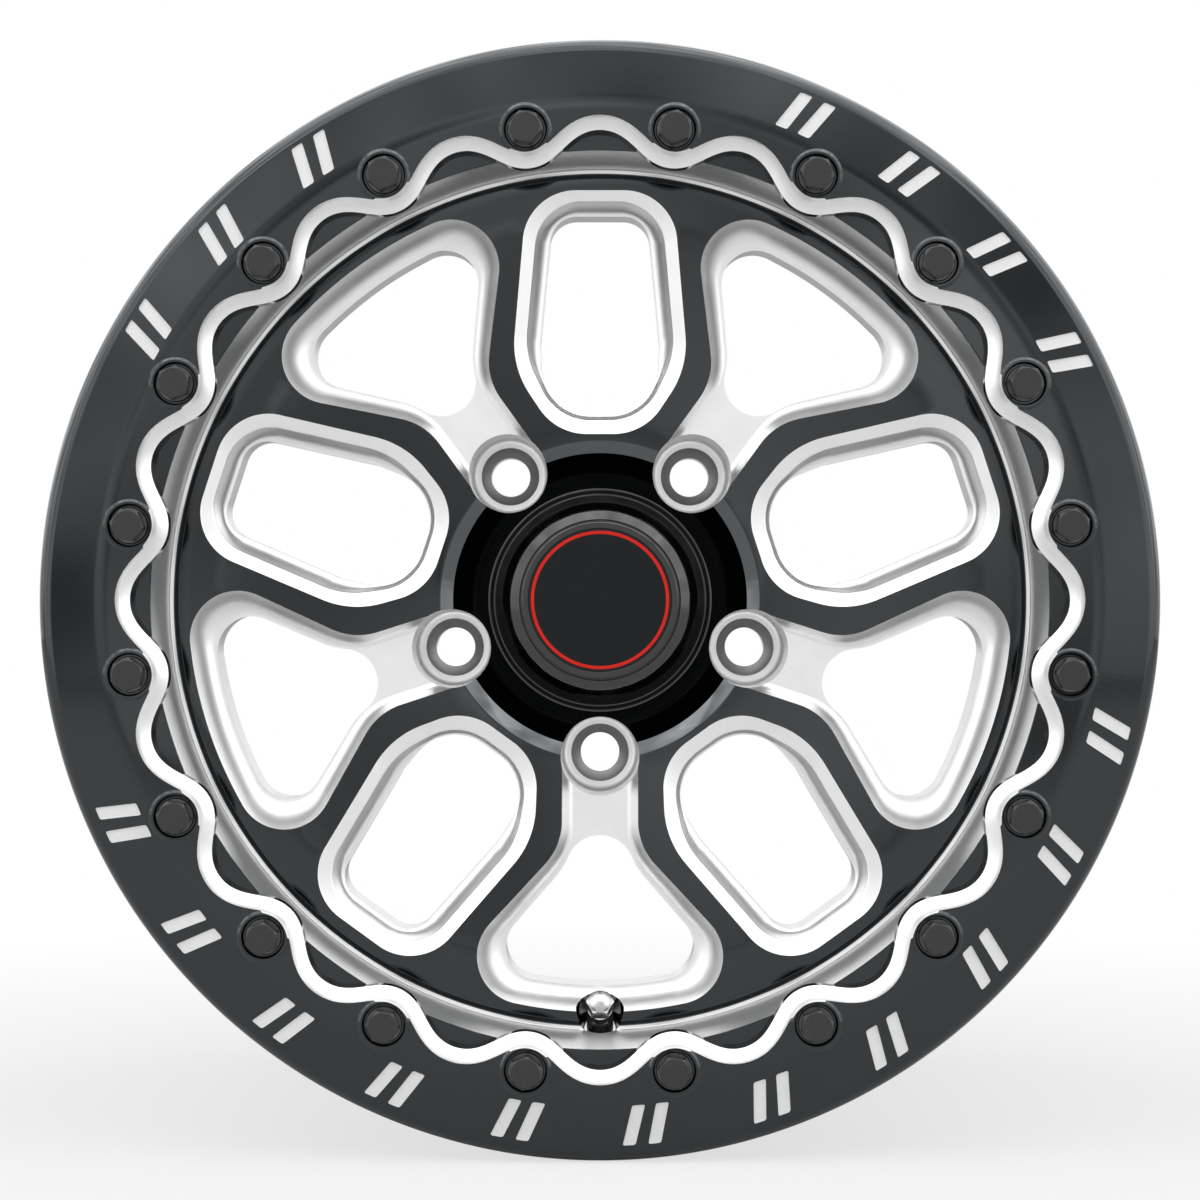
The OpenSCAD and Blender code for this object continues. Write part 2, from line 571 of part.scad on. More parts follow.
// The cap covers the thread and seals on the stem's tip. A dome rounds its hexagon off.
cap_len = 14.5;
cap_wall_t = 0.7;
cap_bore = stem_r + 0.12;
cap_r = cap_bore + cap_wall_t;
cap_skirt_len = 6;
cap_dome_r = 6.2;
cap_crown_t = 3.4;
seal_t = 1.4;
cap_foot = stem_len + seal_t + 0.2 + cap_crown_t - cap_len;
module valve_cap() color([0.88, 0.88, 0.9]) on_valve() translate([0, 0, cap_foot]) difference() {
    union() {
        cylinder(r = cap_r, h = cap_skirt_len + 1);
        intersection() {
            translate([0, 0, cap_skirt_len]) rotate([0, 0, 30])
                cylinder(r = cap_r / cos(30), h = cap_len - cap_skirt_len, $fn = 6);
            translate([0, 0, cap_len - cap_dome_r]) sphere(r = cap_dome_r);
        }
    }
    translate([0, 0, -1]) cylinder(r = cap_bore, h = cap_len - cap_crown_t + 1);
}

module valve_cap_seal() color([0.6, 0.1, 0.08]) on_valve() translate([0, 0, stem_len + 0.1]) difference() {
    cylinder(r = stem_r, h = seal_t);
    translate([0, 0, -1]) cylinder(r = 1.6, h = seal_t + 2);
}

// Turns a piece from its own Z to the street side of the wheel
module place() rotate([90, 0, 0]) children();

place() wheel_rim();
place() beadlock_ring();
place() thread_inserts();
for (i = [1 : bolt_count]) {
    place() clamp_bolt(i);
    place() bolt_washer(i);
}
place() centre_cap();
place() cap_badge();
place() badge_ring();
place() cap_spring_ring();
place() valve_stem();
place() valve_grommet();
place() valve_washer();
place() valve_nut();
place() valve_core();
place() valve_spring();
place() valve_pin();
place() valve_cap();
place() valve_cap_seal();
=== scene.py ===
import math
import bpy
import bmesh
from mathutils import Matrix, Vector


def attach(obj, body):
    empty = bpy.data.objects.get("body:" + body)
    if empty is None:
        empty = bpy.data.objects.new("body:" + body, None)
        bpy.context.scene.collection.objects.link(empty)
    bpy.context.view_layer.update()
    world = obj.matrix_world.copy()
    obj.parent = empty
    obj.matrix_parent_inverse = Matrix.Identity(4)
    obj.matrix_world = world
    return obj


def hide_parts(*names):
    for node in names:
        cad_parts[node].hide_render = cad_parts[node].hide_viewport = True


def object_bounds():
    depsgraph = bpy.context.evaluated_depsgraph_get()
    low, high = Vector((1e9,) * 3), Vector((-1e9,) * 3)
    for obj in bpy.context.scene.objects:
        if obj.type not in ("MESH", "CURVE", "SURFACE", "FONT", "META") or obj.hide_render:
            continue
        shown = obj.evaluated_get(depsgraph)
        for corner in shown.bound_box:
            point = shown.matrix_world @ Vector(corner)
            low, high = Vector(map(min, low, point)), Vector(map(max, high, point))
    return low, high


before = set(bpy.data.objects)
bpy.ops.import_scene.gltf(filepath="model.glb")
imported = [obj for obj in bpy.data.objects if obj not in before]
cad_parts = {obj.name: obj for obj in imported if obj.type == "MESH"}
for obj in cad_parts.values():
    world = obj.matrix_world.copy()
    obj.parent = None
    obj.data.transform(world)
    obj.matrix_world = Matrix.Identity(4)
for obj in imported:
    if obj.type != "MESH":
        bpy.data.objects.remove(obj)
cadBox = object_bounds()
mm = 0.001


# Outlines are drawn in millimetres, with z towards the street side of the wheel

def arc(centre, radius, start, end, steps):
    angles = [math.radians(start + (end - start) * i / steps) for i in range(steps + 1)]
    return [(centre[0] + radius * math.cos(a), centre[1] + radius * math.sin(a)) for a in angles]


def mirrored(half):
    return half + [(x, -y) for x, y in reversed(half)]


def turned(point, degrees):
    a = math.radians(degrees)
    x, y, z = point
    return (x * math.cos(a) - y * math.sin(a), x * math.sin(a) + y * math.cos(a), z)


def toFrame(point):  # the street side faces -Y
    return (point[0] * mm, -point[2] * mm, point[1] * mm)


def smooth(piece, angle=30):
    piece.data.polygons.foreach_set("use_smooth", [True] * len(piece.data.polygons))
    piece.data.set_sharp_from_angle(angle=math.radians(angle))


def newPiece(name, points, faces, materials, slots=None, angle=30):
    mesh = bpy.data.meshes.new(name)
    mesh.from_pydata([toFrame(p) for p in points], [], faces)
    for material in materials:
        mesh.materials.append(material)
    if slots:
        mesh.polygons.foreach_set("material_index", slots)
    work = bmesh.new()
    work.from_mesh(mesh)
    bmesh.ops.remove_doubles(work, verts=work.verts, dist=1e-7)
    bmesh.ops.recalc_face_normals(work, faces=work.faces)
    work.to_mesh(mesh)
    work.free()
    piece = bpy.data.objects.new(name, mesh)
    bpy.context.scene.collection.objects.link(piece)
    smooth(piece, angle)
    return piece


# A profile is a list of (radius, z) or (radius, z, slot), where the slot is for the band after that point
def revolve(name, profile, materials, steps=240, closed=True, place=None, angle=30):
    points, faces, slots, rings = [], [], [], []
    for point in profile:
        r, z = point[0], point[1]
        if r < 1e-6:
            rings.append([len(points)] * steps)
            points.append((0, 0, z))
        else:
            rings.append(list(range(len(points), len(points) + steps)))
            for i in range(steps):
                a = 2 * math.pi * i / steps
                points.append((r * math.cos(a), r * math.sin(a), z))
    slot = 0
    for k in range(len(profile) if closed else len(profile) - 1):
        low, high = rings[k], rings[(k + 1) % len(profile)]
        slot = profile[k][2] if len(profile[k]) > 2 else slot
        for i in range(steps):
            j = (i + 1) % steps
            face = []
            for corner in (low[i], high[i], high[j], low[j]):
                if corner not in face:
                    face.append(corner)
            if len(face) > 2:
                faces.append(face)
                slots.append(slot)
    if place:
        points = [place(p) for p in points]
    return newPiece(name, points, faces, materials, slots, angle)


# Rings are equally long lists of points, from the lowest to the highest, with a slot for each band
def loft(name, rings, materials, bandSlots=None, angle=30):
    n = len(rings[0])
    points = [p for ring in rings for p in ring]
    faces, slots = [], []
    for k in range(len(rings) - 1):
        for i in range(n):
            j = (i + 1) % n
            faces.append((k * n + i, k * n + j, (k + 1) * n + j, (k + 1) * n + i))
            slots.append(bandSlots[k] if bandSlots else 0)
    faces.append(list(range(n))[::-1])
    faces.append(list(range((len(rings) - 1) * n, len(rings) * n)))
    slots += [slots[0], slots[-1]]
    return newPiece(name, points, faces, materials, slots, angle)


def joined(name, pieces):
    work = bmesh.new()
    for piece in pieces:
        work.from_mesh(piece.data)
    mesh = bpy.data.meshes.new(name)
    work.to_mesh(mesh)
    work.free()
    for material in pieces[0].data.materials:
        mesh.materials.append(material)
    for piece in pieces:
        bpy.data.objects.remove(piece)
    whole = bpy.data.objects.new(name, mesh)
    bpy.context.scene.collection.objects.link(whole)
    return whole


def carve(piece, cutter, operation="DIFFERENCE"):
    change = piece.modifiers.new("carve", "BOOLEAN")
    change.operation = operation
    change.solver = "MANIFOLD"
    change.object = cutter
    applyModifiers(piece)
    bpy.data.objects.remove(cutter)


def applyModifiers(piece):
    mesh = bpy.data.meshes.new_from_object(piece.evaluated_get(bpy.context.evaluated_depsgraph_get()))
    piece.modifiers.clear()
    piece.data = mesh


def finishMesh(piece, angle=30):
    smooth(piece, angle)
    weights = piece.modifiers.new("weights", "WEIGHTED_NORMAL")
    weights.keep_sharp = True
    weights.weight = 60
    applyModifiers(piece)


# Shader maths as Python expressions

class Value:
    def __init__(self, tree, socket=None):
        self.tree = tree
        self.socket = socket

    def node(self, kind, settings, sockets):
        made = self.tree.nodes.new(kind)
        for name, setting in settings.items():
            setattr(made, name, setting)
        for name, value in sockets.items():
            if isinstance(value, Value):
                self.tree.links.new(value.socket, made.inputs[name])
            else:
                made.inputs[name].default_value = value
        return made

    def output(self, kind, settings, sockets, which=0):
        return Value(self.tree, self.node(kind, settings, sockets).outputs[which])

    def maths(self, operation, a, b=0.0):
        return self.output("ShaderNodeMath", {"operation": operation}, {0: a, 1: b})

    def __add__(self, other):
        return self.maths("ADD", self, other)

    def __mul__(self, other):
        return self.maths("MULTIPLY", self, other)

    def __sub__(self, other):
        return self.maths("SUBTRACT", self, other)

    def __truediv__(self, other):
        return self.maths("DIVIDE", self, other)

    def __pow__(self, other):
        return self.maths("POWER", self, other)

    def __rsub__(self, other):
        return self.maths("SUBTRACT", other, self)

    __radd__ = __add__
    __rmul__ = __mul__

    def clamped(self):
        return self.maths("MINIMUM", self.maths("MAXIMUM", self, 0.0), 1.0)

    def sine(self):
        return self.maths("SINE", self)


def colour(tone):  # a plain number is a grey
    return (*tone, 1) if isinstance(tone, tuple) else (tone, tone, tone, 1)


class Finish:
    def __init__(self, name, constants):
        self.material = bpy.data.materials.new(name)
        self.material.use_nodes = True
        tree = self.material.node_tree
        self.shader = tree.nodes["Principled BSDF"]
        for socket, value in constants.items():
            self.shader.inputs[socket].default_value = value
        self.root = Value(tree)
        self.place = self.root.output("ShaderNodeTexCoord", {}, {}, "Object")
        split = self.root.node("ShaderNodeSeparateXYZ", {}, {0: self.place})
        self.x, self.y, self.z = (Value(tree, split.outputs[i]) for i in range(3))
        self.radius = (self.x * self.x + self.z * self.z) ** 0.5

    def noise(self, scale, detail=3.0, roughness=0.5, stretch=None):
        place = self.place
        if stretch:
            place = self.root.output("ShaderNodeMapping", {}, {"Vector": place, "Scale": stretch})
        return self.root.output("ShaderNodeTexNoise", {}, {
            "Vector": place, "Scale": scale, "Detail": detail, "Roughness": roughness})

    def mixed(self, factor, first, second):
        return self.root.output("ShaderNodeMix", {"data_type": "RGBA"}, {
            0: factor, 6: colour(first), 7: colour(second)}, 2)

    def feed(self, socket, value):
        self.root.tree.links.new(value.socket, self.shader.inputs[socket])

    def bump(self, height, strength, distance):
        self.feed("Normal", self.root.output("ShaderNodeBump", {}, {
            "Height": height, "Strength": strength, "Distance": distance}))


# Finishes: noise scales are in waves per metre, and heights in metres

paint = {
    "base": 0.006,      # how black the gloss paint is
    "tint": (0.86, 0.94, 1, 1),
    "roughness": 0.05,
    "cloud": 14,
    "grain": 2500,
    "peelScale": 900,   # orange peel
    "peel": 0.00002,
}


def glossPaint(name="gloss black paint", base=paint["base"], shine=0.5, coat=0.45):
    finish = Finish(name, {"Specular IOR Level": shine, "Specular Tint": paint["tint"],
                           "Coat Weight": coat, "Coat Roughness": 0.03, "Coat IOR": 1.5})
    cloud = finish.noise(paint["cloud"], 2)
    finish.feed("Base Color", finish.mixed(cloud, (base * 0.6, base * 0.7, base * 0.8),
                                           (base * 1.2, base * 1.4, base * 1.6)))
    grain = finish.noise(paint["grain"], 2)
    finish.feed("Roughness", cloud * 0.03 + grain * 0.03 + (paint["roughness"] - 0.03))
    finish.bump(finish.noise(paint["peelScale"], 2), 0.35, paint["peel"])
    return finish.material


milling = {"bright": 0.94, "dark": 0.85, "roughness": 0.40, "streaks": 60, "marks": 1400, "height": 0.00001}


def milledMetal(name="milled aluminium", shade=1.0):  # faint cloudy streaks and fine tool marks
    m = milling
    finish = Finish(name, {"Metallic": 1.0})
    streak = finish.noise(m["streaks"], 4, 0.6, (1.0, 3.0, 1.0))
    fine = finish.noise(m["marks"], 3, 0.65)
    # a shade below one darkens the whole metal, as painted shade
    finish.feed("Base Color", finish.mixed(streak, m["dark"] * shade, m["bright"] * shade))
    finish.feed("Roughness", streak * 0.10 + fine * 0.08 + (m["roughness"] - 0.08))
    finish.bump(fine, 0.25, m["height"])
    return finish.material


turning = {"bright": 0.96, "dark": 0.84, "roughness": 0.42, "grooves": 9000, "height": 0.000006}


def turnedMetal():  # fine grooves that run round the axle
    t = turning
    finish = Finish("turned aluminium", {"Metallic": 1.0})
    wobble = finish.noise(30, 2)
    groove = ((finish.radius - finish.y * 0.6) * t["grooves"] + wobble * 2).sine() * 0.5 + 0.5
    finish.feed("Base Color", finish.mixed(finish.noise(20, 3) * 0.5 + groove * 0.5, t["dark"], t["bright"]))
    finish.feed("Roughness", finish.noise(300, 3) * 0.06 + (t["roughness"] - 0.03))
    finish.bump(groove, 0.3, t["height"])
    return finish.material


# One speckle mixes the two tones, adds up to its spread to the roughness and stands out by its height
speckles = {
    # The lug seat's greys lie far below the milled metal's as painted shade in the cone seat; the speckle
    # itself is texture
    "lug seat": {"metallic": 1.0, "shine": 0.5, "scale": 900, "detail": 4, "contrast": 0.7,
                 "tones": (0.30, 0.52), "roughness": 0.4, "spread": 0.2, "bump": 0.3, "height": 0.00004},
    "black oxide": {"metallic": 0.0, "shine": 0.6, "scale": 1800, "detail": 4, "contrast": 0.6,
                    "tones": (0.010, 0.026), "roughness": 0.15, "spread": 0.15,
                    "bump": 0.3, "height": 0.00003},
    "badge charcoal": {"metallic": 0.0, "shine": 0.12, "scale": 1500, "detail": 3, "contrast": 0.5,
                       "tones": ((0.009, 0.01, 0.011), (0.013, 0.0145, 0.016)),
                       "roughness": 0.38, "spread": 0.15, "bump": 0.15, "height": 0.00002},
    "badge red": {"metallic": 0.0, "shine": 0.15, "scale": 200, "detail": 2, "contrast": 0.5,
                  "tones": ((0.60, 0.016, 0.010), (0.68, 0.024, 0.016)), "roughness": 0.3, "spread": 0.1},
    "brass": {"metallic": 1.0, "shine": 0.5, "scale": 400, "detail": 3, "contrast": 0.5,
              "tones": ((0.70, 0.50, 0.22), (0.82, 0.62, 0.32)), "roughness": 0.2, "spread": 0.15},
    "rubber": {"metallic": 0.0, "shine": 0.3, "scale": 1500, "detail": 4, "contrast": 0.5,
               "tones": (0.012, 0.024), "roughness": 0.55, "spread": 0.2, "bump": 0.4, "height": 0.00005},
}


def speckled(name):
    s = speckles[name]
    finish = Finish(name, {"Metallic": s["metallic"], "Specular IOR Level": s["shine"]})
    speckle = finish.noise(s["scale"], s["detail"], s["contrast"])
    finish.feed("Base Color", finish.mixed(speckle, *s["tones"]))
    finish.feed("Roughness", speckle * s["spread"] + s["roughness"])
    if "height" in s:
        finish.bump(speckle, s["bump"], s["height"])
    return finish.material


def whiteFill():
    finish = Finish("white fill", {"Specular IOR Level": 0.4})
    finish.feed("Base Color", finish.mixed(finish.noise(120, 3), 0.80, 0.88))
    finish.feed("Roughness", finish.noise(700, 2) * 0.2 + 0.35)
    finish.bump(finish.noise(1600, 3), 0.2, 0.00003)
    return finish.material


def blackPlastic(name, light, shine, coat):
    finish = Finish(name, {"Specular IOR Level": shine, "Coat Weight": coat, "Coat Roughness": 0.05})
    cloud = finish.noise(40, 3)
    finish.feed("Base Color", finish.mixed(cloud, light / 2, light))
    finish.feed("Roughness", cloud * 0.05 + finish.noise(2200, 2) * 0.04 + 0.07)
    finish.bump(finish.noise(1200, 2), 0.2, 0.00002)
    return finish.material


def brightPlate(name, light, roughness):
    finish = Finish(name, {"Metallic": 1.0})
    haze = finish.noise(350, 3)
    finish.feed("Base Color", finish.mixed(haze, light * 0.9, light))
    finish.feed("Roughness", haze * 0.08 + (roughness - 0.04))
    finish.bump(finish.noise(1800, 2), 0.12, 0.00002)
    return finish.material


black = glossPaint()
# The cap's recess is the same gloss paint made darker and nearly without shine or coat: painted shade in the
# recess
recessPaintedShade = glossPaint("recess painted shade", base=0.001, shine=0.04, coat=0.0)
# The hub's lip is the same gloss paint with full shine and coat, so it reflects brighter than the rest of
# the paint: a painted reflection
lipPaintedSheen = glossPaint("lip painted sheen", shine=1.0, coat=1.0)
# The window wall is the milled metal at two thirds of its brightness: painted shade on the walls of the
# holes
milled, shadedWindowWall, machined = milledMetal(), milledMetal("window wall painted shade", shade=0.66), turnedMetal()
capPlastic = blackPlastic("gloss black plastic", light=0.009, shine=0.8, coat=0.15)
flangeBlack = blackPlastic("black plastic", light=0.003, shine=0.08, coat=0.0)
plated = brightPlate("bright plating", light=0.66, roughness=0.24)
springSteel = brightPlate("spring steel", light=0.6, roughness=0.3)
washerSteel = brightPlate("washer steel", light=0.15, roughness=0.3)
white, seatPaintedShade, bolts = whiteFill(), speckled("lug seat"), speckled("black oxide")
charcoal, red = speckled("badge charcoal"), speckled("badge red")
brass, rubber = speckled("brass"), speckled("rubber")
print("finishes made")

# The one-piece wheel: a turned blank with its windows, pockets and holes cut from it

wheel = {
    "boreRadius": 39.05, "boreDepth": 20, "capBoreRadius": 40.6,
    "recessRadius": 56.2, "recessZ": 44, "recessRound": 9.8, "hubEdge": 61.5, "hubZ": 56, "lipRise": 2.3,
    "crease": 143.5, "faceZ": 62.5, "faceSteps": 12, "flat": (150, 156), "edgeDrop": 2.3,
    "grooves": 3, "grooveStart": 160.9, "groovePitch": 0.6, "grooveDepth": 0.4,
    "coneFoot": 164.45, "coneTop": 168.6, "coneRound": 0.8, "coneLand": 0.8,
    "seatZ": 82, "registerRadius": 189.3, "chamfer": 2.2, "slot": 14, "supportRadius": 204,
    "slopeTop": 190.6, "lean": 30, "spokeBack": 30.5, "backRadius": 160, "backRound": 8,
    "padRadius": 72.5, "padRelief": 56,
    "padFlank": ((120, 0), (102, 0), (95, 1.6), (88, 6), (82, 11), (78, 16)),  # radius and drop
    "channelZ": 51, "windows": 5, "windowStep": 72, "valveAngle": -90,
    "boltCount": 20, "boltCircle": 176.9, "insertRadius": 5.07, "insertFoot": 61,
}
barrel = {
    "well": 165, "wellFoot": -15, "shoulder": 178, "ledge": 181.5, "hump": 187.6, "humpRound": 2.4,
    "bead": 190.1, "flange": 17.3, "flangeRound": 9.5, "flangeInside": 5.5,
    "backspace": 190.5, "heel": 13.5, "flangeFoot": 11.5, "wall": 4.5,  # heel and foot lie up from the back
}
# The recess, lip, window wall and lug seat slots are lit or shaded copies of the paint and the milled metal:
# painted shade in the recess, window walls and lug seats, and a painted reflection on the lip
wheelSlots = [black, milled, machined, seatPaintedShade, recessPaintedShade, shadedWindowWall, lipPaintedSheen]
painted, bare, lathed, coned, recessShade, shadedWall, lipSheen = range(7)


def atRadius(radius, angle, spin=0):  # moves what is drawn on the axle out to a place round it
    def place(point):
        x, y, z = turned(point, spin)
        return turned((x + radius, y, z), angle)
    return place


def boltAngle(i):
    return (i + 0.5) * 360 / wheel["boltCount"]


def aroundBolts(make):
    return [make(atRadius(wheel["boltCircle"], boltAngle(i))) for i in range(wheel["boltCount"])]


def bellAngle(index):
    return wheel["valveAngle"] + index * wheel["windowStep"]


def ovalAngle(index):
    return bellAngle(index) + wheel["windowStep"] / 2


def faceHeight(r):
    w = wheel
    if r > w["crease"]:
        return w["faceZ"]
    return w["hubZ"] + (w["faceZ"] - w["hubZ"]) * (r - w["hubEdge"]) / (w["crease"] - w["hubEdge"])


def slopeHeight(r):  # the leaning wall that carries the valve
    return wheel["spokeBack"] + (r - barrel["well"]) * math.tan(math.radians(wheel["lean"]))


def hubProfile():  # from the bore through the cap's recess to the lip of the hub
    w = wheel
    lipZ = w["hubZ"] - w["lipRise"]
    return ([(w["boreRadius"] + 1, 0, lathed), (w["boreRadius"], 1), (w["boreRadius"], w["boreDepth"]),
             (w["capBoreRadius"], w["boreDepth"] + 2, painted), (w["capBoreRadius"], w["recessZ"] - 0.8),
             # the recess floor and its rounding take the painted shade
             (w["capBoreRadius"] + 0.8, w["recessZ"], recessShade)]
            + arc((w["recessRadius"] - w["recessRound"], w["recessZ"] + w["recessRound"]),
                  w["recessRound"], -90, -3, 18)
            # the band after the lip takes the painted reflection
            + [(w["recessRadius"], lipZ - 0.3), (w["recessRadius"] + 0.3, lipZ + 0.1, lipSheen),
               (w["hubEdge"] - 0.3, w["hubZ"] - 0.15, painted)])


def edgeGrooves(foot):  # fine turned grooves round the edge of the face
    w = wheel
    start, deep = w["grooveStart"], w["grooveDepth"]
    fall = (w["faceZ"] - foot) / (w["grooves"] + 0.5)
    points = [(start - 0.5, w["faceZ"]), (start - 0.1, w["faceZ"] - 0.15)]
    for i in range(w["grooves"]):
        r, z = start + i * w["groovePitch"], w["faceZ"] - (i + 0.6) * fall
        points += [(r, z), (r + 0.12, z - deep), (r + 0.32, z - deep - 0.05), (r + 0.42, z - 0.1)]
    return points


def coneProfile(foot):  # a bright land, a fillet and the turned cone up to the ring's seat
    w = wheel
    slope = math.degrees(math.atan2(w["seatZ"] - foot, w["coneTop"] - w["coneFoot"]))
    r = w["coneRound"]
    start = w["coneFoot"] - r * math.tan(math.radians(slope / 2))
    fillet = arc((start, foot + r), r, -90, slope - 90, 8)
    return ([(start - w["coneLand"], foot, bare)] + fillet[:-1] + [fillet[-1] + (lathed,)]
            + [(w["coneTop"] - 0.1, w["seatZ"] - 0.4, painted), (w["coneTop"] + 0.05, w["seatZ"] - 0.05),
               (w["coneTop"] + 0.4, w["seatZ"])])


def faceProfile():
    w = wheel
    width, edge = w["crease"] - w["hubEdge"], w["faceZ"] - w["edgeDrop"]
    steps = w["faceSteps"]
    rise = [w["hubEdge"] + 0.3] + [w["hubEdge"] + width * i / steps for i in range(1, steps)]
    return ([(r, faceHeight(r)) for r in rise] + [(r, w["faceZ"]) for r in (w["crease"],) + w["flat"]]
            + edgeGrooves(edge) + coneProfile(edge))


def seatProfile():  # the ring's seat, the slot for the tyre's edge and the slope down to the barrel
    w = wheel
    register, outer, seat, chamfer = w["registerRadius"], w["supportRadius"], w["seatZ"], w["chamfer"]
    support = seat - w["slot"]
    return ([(register - chamfer, seat), (register, seat - chamfer), (register, support + 1)]
            + arc((register + 1, support + 1), 1, 180, 270, 4)
            + [(outer - 1.5, support), (outer - 0.4, support - 0.4), (outer, support - 1.5),
               (outer, support - 6), (outer - 1.2, support - 7.5), (193, support - 19)]
            + [(r, slopeHeight(r)) for r in (w["slopeTop"], barrel["well"] + 3)])


def barrelOutside():  # the drop centre, the hump, the bead seat and the inboard flange
    b, back = barrel, -barrel["backspace"]
    well, shoulder, ledge, bead, heel = b["well"], b["shoulder"], b["ledge"], b["bead"], back + b["heel"]
    lip, curl = bead + b["flange"], b["flangeRound"]
    flangeCentre = (lip - curl, back + b["flangeFoot"] - curl)
    return ([(well, wheel["spokeBack"] - 5), (well, 0), (well, b["wellFoot"]),
             (well + 0.6, b["wellFoot"] - 2.5), (shoulder, -35.5), (shoulder + 0.6, -38),
             (ledge, back + 50), (ledge + 0.5, back + 48), (ledge + 3.9, back + 40)]
            + arc((b["hump"], back + 34), b["humpRound"], 140, 30, 8)
            + [(bead - 1.5, back + 30), (bead, heel)]
            + arc((bead + 4, heel + 2), 4, 210, 270, 6) + arc(flangeCentre, curl, 90, -12, 18)
            + [(lip - 0.8, back + 0.4), (lip - 1.8, back), (lip - 3.6, back + 0.2)]
            + arc(flangeCentre, b["flangeInside"], -12, 90, 14))


def barrelInside():
    b, back, wall = barrel, -barrel["backspace"], barrel["wall"]
    bead, inner, heel, flange = b["bead"], b["well"] - wall, back + b["heel"], back + b["flangeFoot"]
    return [(bead - 1, flange - 4), (bead - 5, flange - 1), (bead - 6.3, heel + 2), (bead - 7.3, back + 30),
            (b["ledge"] - wall, back + 46), (b["shoulder"] + 0.5 - wall, -39), (b["shoulder"] - wall, -37),
            (inner + 0.6, -20.5), (inner, -18), (inner, 10), (inner, wheel["spokeBack"] - 8)]


def backProfile():  # the backs of the spokes and the mounting pad
    w, back, pad = wheel, wheel["spokeBack"], wheel["padRadius"]
    return (arc((w["backRadius"] - w["backRound"], back - w["backRound"]), w["backRound"], 2, 88, 8)
            + [(r, back - drop) for r, drop in w["padFlank"]]
            + [(pad + 1, 3, lathed), (pad - 1.5, 0.3), (pad - 3, 0), (w["padRelief"], 0)])


def blend(a, b, t):
    return [tuple(p + (q - p) * t for p, q in zip(one, other)) for one, other in zip(a, b)]


def cove(top, base, steps, lead=30):  # rings from the level base to the top, steep under the top
    rings = []
    first = math.radians(lead)
    for i in range(steps, -1, -1):
        t = math.radians(lead + (90 - lead) * i / steps)
        out = (math.cos(first) - math.cos(t)) / math.cos(first)
        down = (math.sin(t) - math.sin(first)) / (1 - math.sin(first))
        rings.append([(a[0] + (b[0] - a[0]) * out, a[1] + (b[1] - a[1]) * out, a[2] + (b[2] - a[2]) * down)
                      for a, b in zip(top, base)])
    return rings


coveSteps = 14
clearOfFace = 20  # how far the cutters stand out in front of the face and behind the hub

oval = {  # each outline is three arcs of (along, across, radius), from the rim to the hub
    "face": ((135.9, 9.1, 20.4), (98.1, -1.5, 34.3), (85.5, 5.1, 21.8)),
    "lip": ((133.9, 6.6, 18.1), (99.94, -3, 30.8), (89.8, 3.6, 20.5)),
    "hole": ((137.7, 9, 10), (98.02, 3.7, 19), (89.7, 3.7, 18.5)),
    "ledgeDrop": 1.6, "step": 0.5, "draft": 1.4, "steps": 72,
    # how far from the lip to the face each ring of the bevel lies, and its drop as a share of ledgeDrop
    "bevel": ((0.07, 1.0), (0.13, 0.9), (0.93, 0.12)),
}


def tangentAngle(a, b):
    across = (b[0] - a[0], b[1] - a[1])
    return math.degrees(math.atan2(across[1], across[0])
                        + math.acos((a[2] - b[2]) / math.hypot(*across)))


def ovalOutline(shape, inset=0.0):
    outer, side, inner = shape
    flank, tail = tangentAngle(side, outer), tangentAngle(inner, side)
    half = []
    for i in range(oval["steps"] + 1):
        turn = 180 * i / oval["steps"]
        x, y, r = outer if turn <= flank else side if turn <= tail else inner
        half += arc((x, y), r - inset, turn, turn, 1)[:1]
    return mirrored(half)


def ovalCutter(index):
    def below(points, drop):
        return [(x, y, faceHeight(math.hypot(x, y)) - drop) for x, y in points]

    def level(points, z):
        return [(x, y, z) for x, y in points]

    face, lip, hole = (ovalOutline(oval[name]) for name in ("face", "lip", "hole"))
    drop, outside = oval["ledgeDrop"], blend(lip, face, 1.07)
    # the first band, the through hole's wall, takes the painted shade
    rings = [level(ovalOutline(oval["hole"], -oval["draft"]), -clearOfFace)]
    rings += cove(below(lip, drop + oval["step"]), level(hole, wheel["channelZ"]), coveSteps)
    rings += [below(blend(lip, face, 0.03), drop + 0.2)]
    rings += [below(blend(lip, face, out), drop * share) for out, share in oval["bevel"]]
    rings += [below(face, 0.02), below(outside, -0.6), level(outside, wheel["faceZ"] + clearOfFace)]
    return loft("ovalCutter", [[turned(p, ovalAngle(index)) for p in ring] for ring in rings], wheelSlots,
                [shadedWall] + [bare] * (len(rings) - 2))


bell = {
    "start": 60, "lead": 0.5,
    "face": {"channel": 14.7, "throat": 24, "corner": (136, 28.8), "round": 18.3, "rim": 157.3, "flank": 43},
    "floor": {"channel": 10, "throat": 29, "corner": (133.5, 23), "round": 13.5, "rim": 148.9, "flank": 41},
    "land": 0.4, "tip": 90.6, "draft": 1.4,
}


def bellCorner(shape, shrink=0.0):
    corner = shape["corner"]
    turn = math.degrees(math.atan2(corner[1], corner[0]))
    return (arc((0, 0), shape["rim"] - shrink, 0, turn * 0.9, 14)
            + arc(corner, shape["round"] - shrink, turn, 90 + shape["flank"], 30))


def bellThroat(shape, shrink=0.0):  # centre and radius of the arc that the flank runs into
    flank, corner = math.radians(shape["flank"]), shape["corner"]
    radius = shape["throat"] + shrink
    across = shape["channel"] + radius
    along = (corner[0] * -math.sin(flank) + corner[1] * math.cos(flank) + shape["round"] - shrink + radius
             - across * math.cos(flank)) / -math.sin(flank)
    return (along, across), radius


